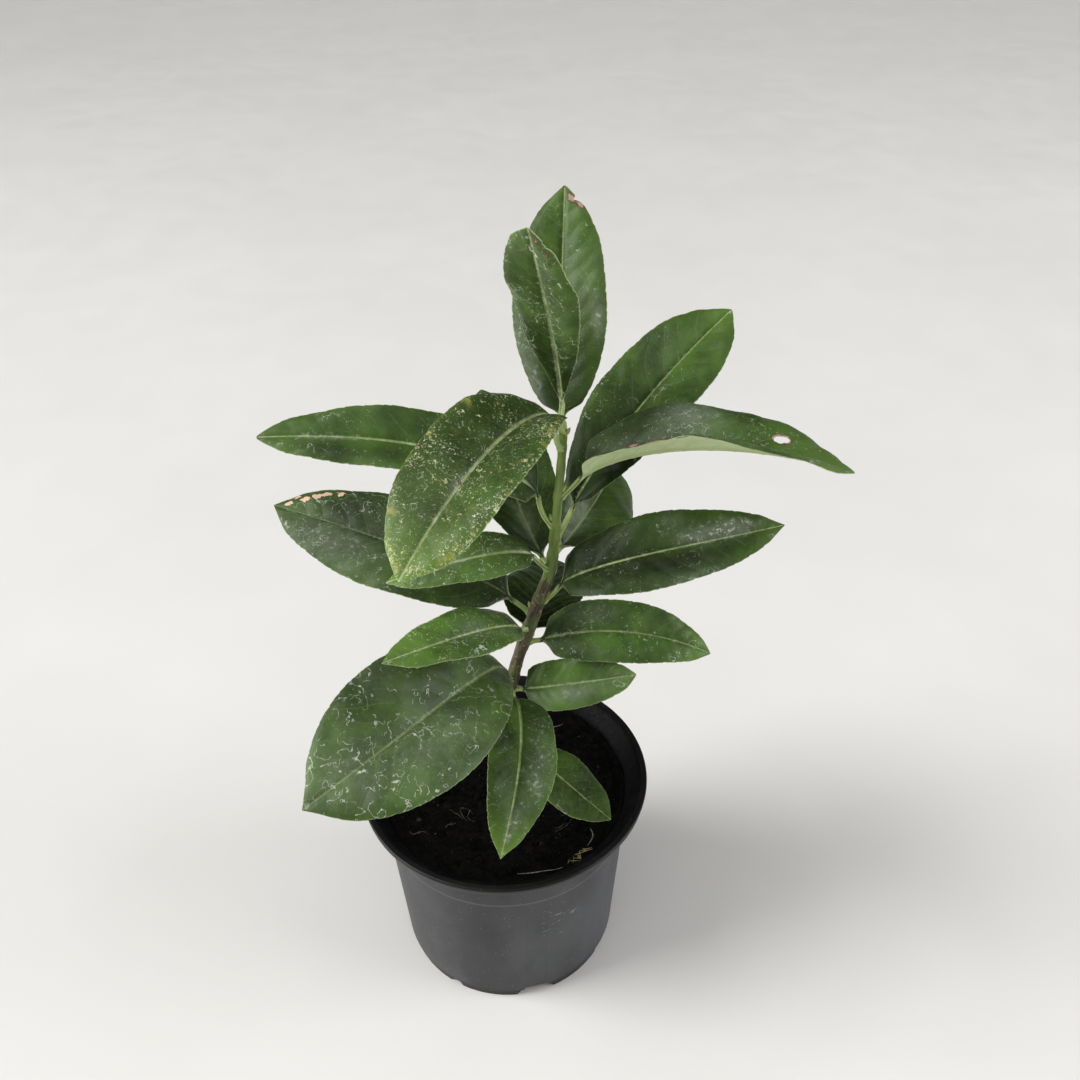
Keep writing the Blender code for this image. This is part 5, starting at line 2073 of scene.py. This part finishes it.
@dataclass(frozen=True)
class Sun:
    """Soft light from one direction, even over the whole floor."""

    name: str
    direction: Place
    spread: float
    strength: float

    def hang(self) -> None:
        """Put the light into the scene."""
        light = bpy.data.lights.new(self.name, "SUN")
        light.energy = self.strength
        light.angle = math.radians(self.spread)
        item = link_object(self.name, light)
        item.rotation_euler = Vector(self.direction).to_track_quat("Z", "Y").to_euler()


@dataclass(frozen=True)
class Lamp:
    """Soft square lamp that faces the plant. Its places and size are in metres."""

    name: str
    place: Place
    power: float
    colour: Colour
    size: float = 1.4
    aim: Place = (0.02, 0.0, 0.16)

    def hang(self) -> None:
        """Put the lamp into the scene."""
        light = bpy.data.lights.new(self.name, "AREA")
        light.shape = "SQUARE"
        light.size = self.size
        light.energy = self.power
        light.color = self.colour
        item = link_object(self.name, light)
        item.location = self.place
        item.rotation_euler = (Vector(self.aim) - Vector(self.place)).to_track_quat("-Z", "Y").to_euler()


@dataclass
class Studio:
    """Plain pale floor, soft light and the camera. Its places are in metres."""

    eye: Place = (0.0177, -0.3302, 0.4581)
    pitch: float = 55.08
    tilt: float = -0.81
    lens: float = 34.667
    sensor: float = 36.0
    floor_reach: float = 9.0
    floor_colour: Colour = (0.78, 0.765, 0.74)
    around: Colour = (0.86, 0.87, 0.89)
    around_strength: float = 0.12
    lights: tuple[Sun | Lamp, ...] = (
        Sun("key_light", (-0.58, -0.12, 0.80), 26.0, 1.40),
        Sun("top_light", (0.05, -0.35, 0.93), 80.0, 0.92),
        Lamp("left_lamp", (-2.2, -0.3, 0.8), 44.0, (1.0, 0.995, 0.985)),
        Lamp("right_lamp", (2.2, -0.4, 0.9), 33.0, (0.97, 0.98, 1.0)),
    )

    def floor(self) -> None:
        """Lay the floor."""
        reach = self.floor_reach
        corners = [(-reach, -reach, 0), (reach, -reach, 0), (reach, reach, 0), (-reach, reach, 0)]
        mesh = bpy.data.meshes.new("floor")
        mesh.from_pydata(corners, [], [(0, 1, 2, 3)])
        g = Finish("floor_matt")
        p = g.grain()
        shade = tuple(0.965 * side for side in self.floor_colour)
        colour = g.mix(g.step(g.noise(p, 0.004, 3.0), 0.3, 0.7), shade, self.floor_colour)
        rough = g.step(g.noise(p, 0.02, 3.0), 0.3, 0.7, 0.5, 0.62)
        mesh.materials.append(g.finish(colour, rough, g.noise(p, 0.8, 3.0), 0.03))
        link_object("floor", mesh)

    def surroundings(self) -> None:
        """Fill in the light from all round and set how colours are shown."""
        world = bpy.data.worlds.new("studio")
        world.use_nodes = True
        back = world.node_tree.nodes["Background"]
        back.inputs["Color"].default_value = (*self.around, 1.0)
        back.inputs["Strength"].default_value = self.around_strength
        bpy.context.scene.world = world
        bpy.context.scene.view_settings.view_transform = "Standard"

    def camera(self) -> None:
        """Set the camera where the photo was taken from."""
        camera = bpy.data.cameras.new("photo_camera")
        camera.sensor_width = self.sensor
        camera.lens = self.lens
        camera.clip_start = 0.01
        camera.clip_end = 40.0
        item = link_object("photo_camera", camera)
        turn = Matrix.Rotation(math.radians(self.pitch), 4, "X")
        turn = turn @ Matrix.Rotation(math.radians(self.tilt), 4, "Z")
        item.matrix_world = Matrix.Translation(self.eye) @ turn
        bpy.context.scene.camera = item

    def build(self) -> None:
        """Set floor, lights, surroundings and camera."""
        self.floor()
        for light in self.lights:
            light.hang()
        self.surroundings()
        self.camera()


def hand_over(pieces: Pieces) -> None:
    """Hang each piece on the body and hide the frame's solid that it stands for.

    Args:
        pieces: Each piece with its material slot and the node that it stands for.
    """
    for item, slot, node in pieces:
        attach(item, BODY)
        if node is not None:
            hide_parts(node)
        LOG.info("%s: %d faces", item.name, len(item.data.polygons))


def main() -> None:
    """Build the pot, the soil, the stem and the leaves, and set the studio."""
    logging.basicConfig(level=logging.INFO, format="%(name)s %(message)s")
    pot = Pot()
    hand_over(pot.build())
    hand_over(Soil(pot).build())
    stem = Stem(nodes=tuple(form.height for form in LEAVES))
    hand_over(stem.build([(form.height, form.heading) for form in LEAVES if form.node in BUDDED]))
    for form in LEAVES:
        leaf = Leaf(form, stem, LOOKS[form.node], BLEMISHES.get(form.node, ()))
        hand_over(leaf.build())
    Studio().build()


if __name__ == "__main__":
    main()
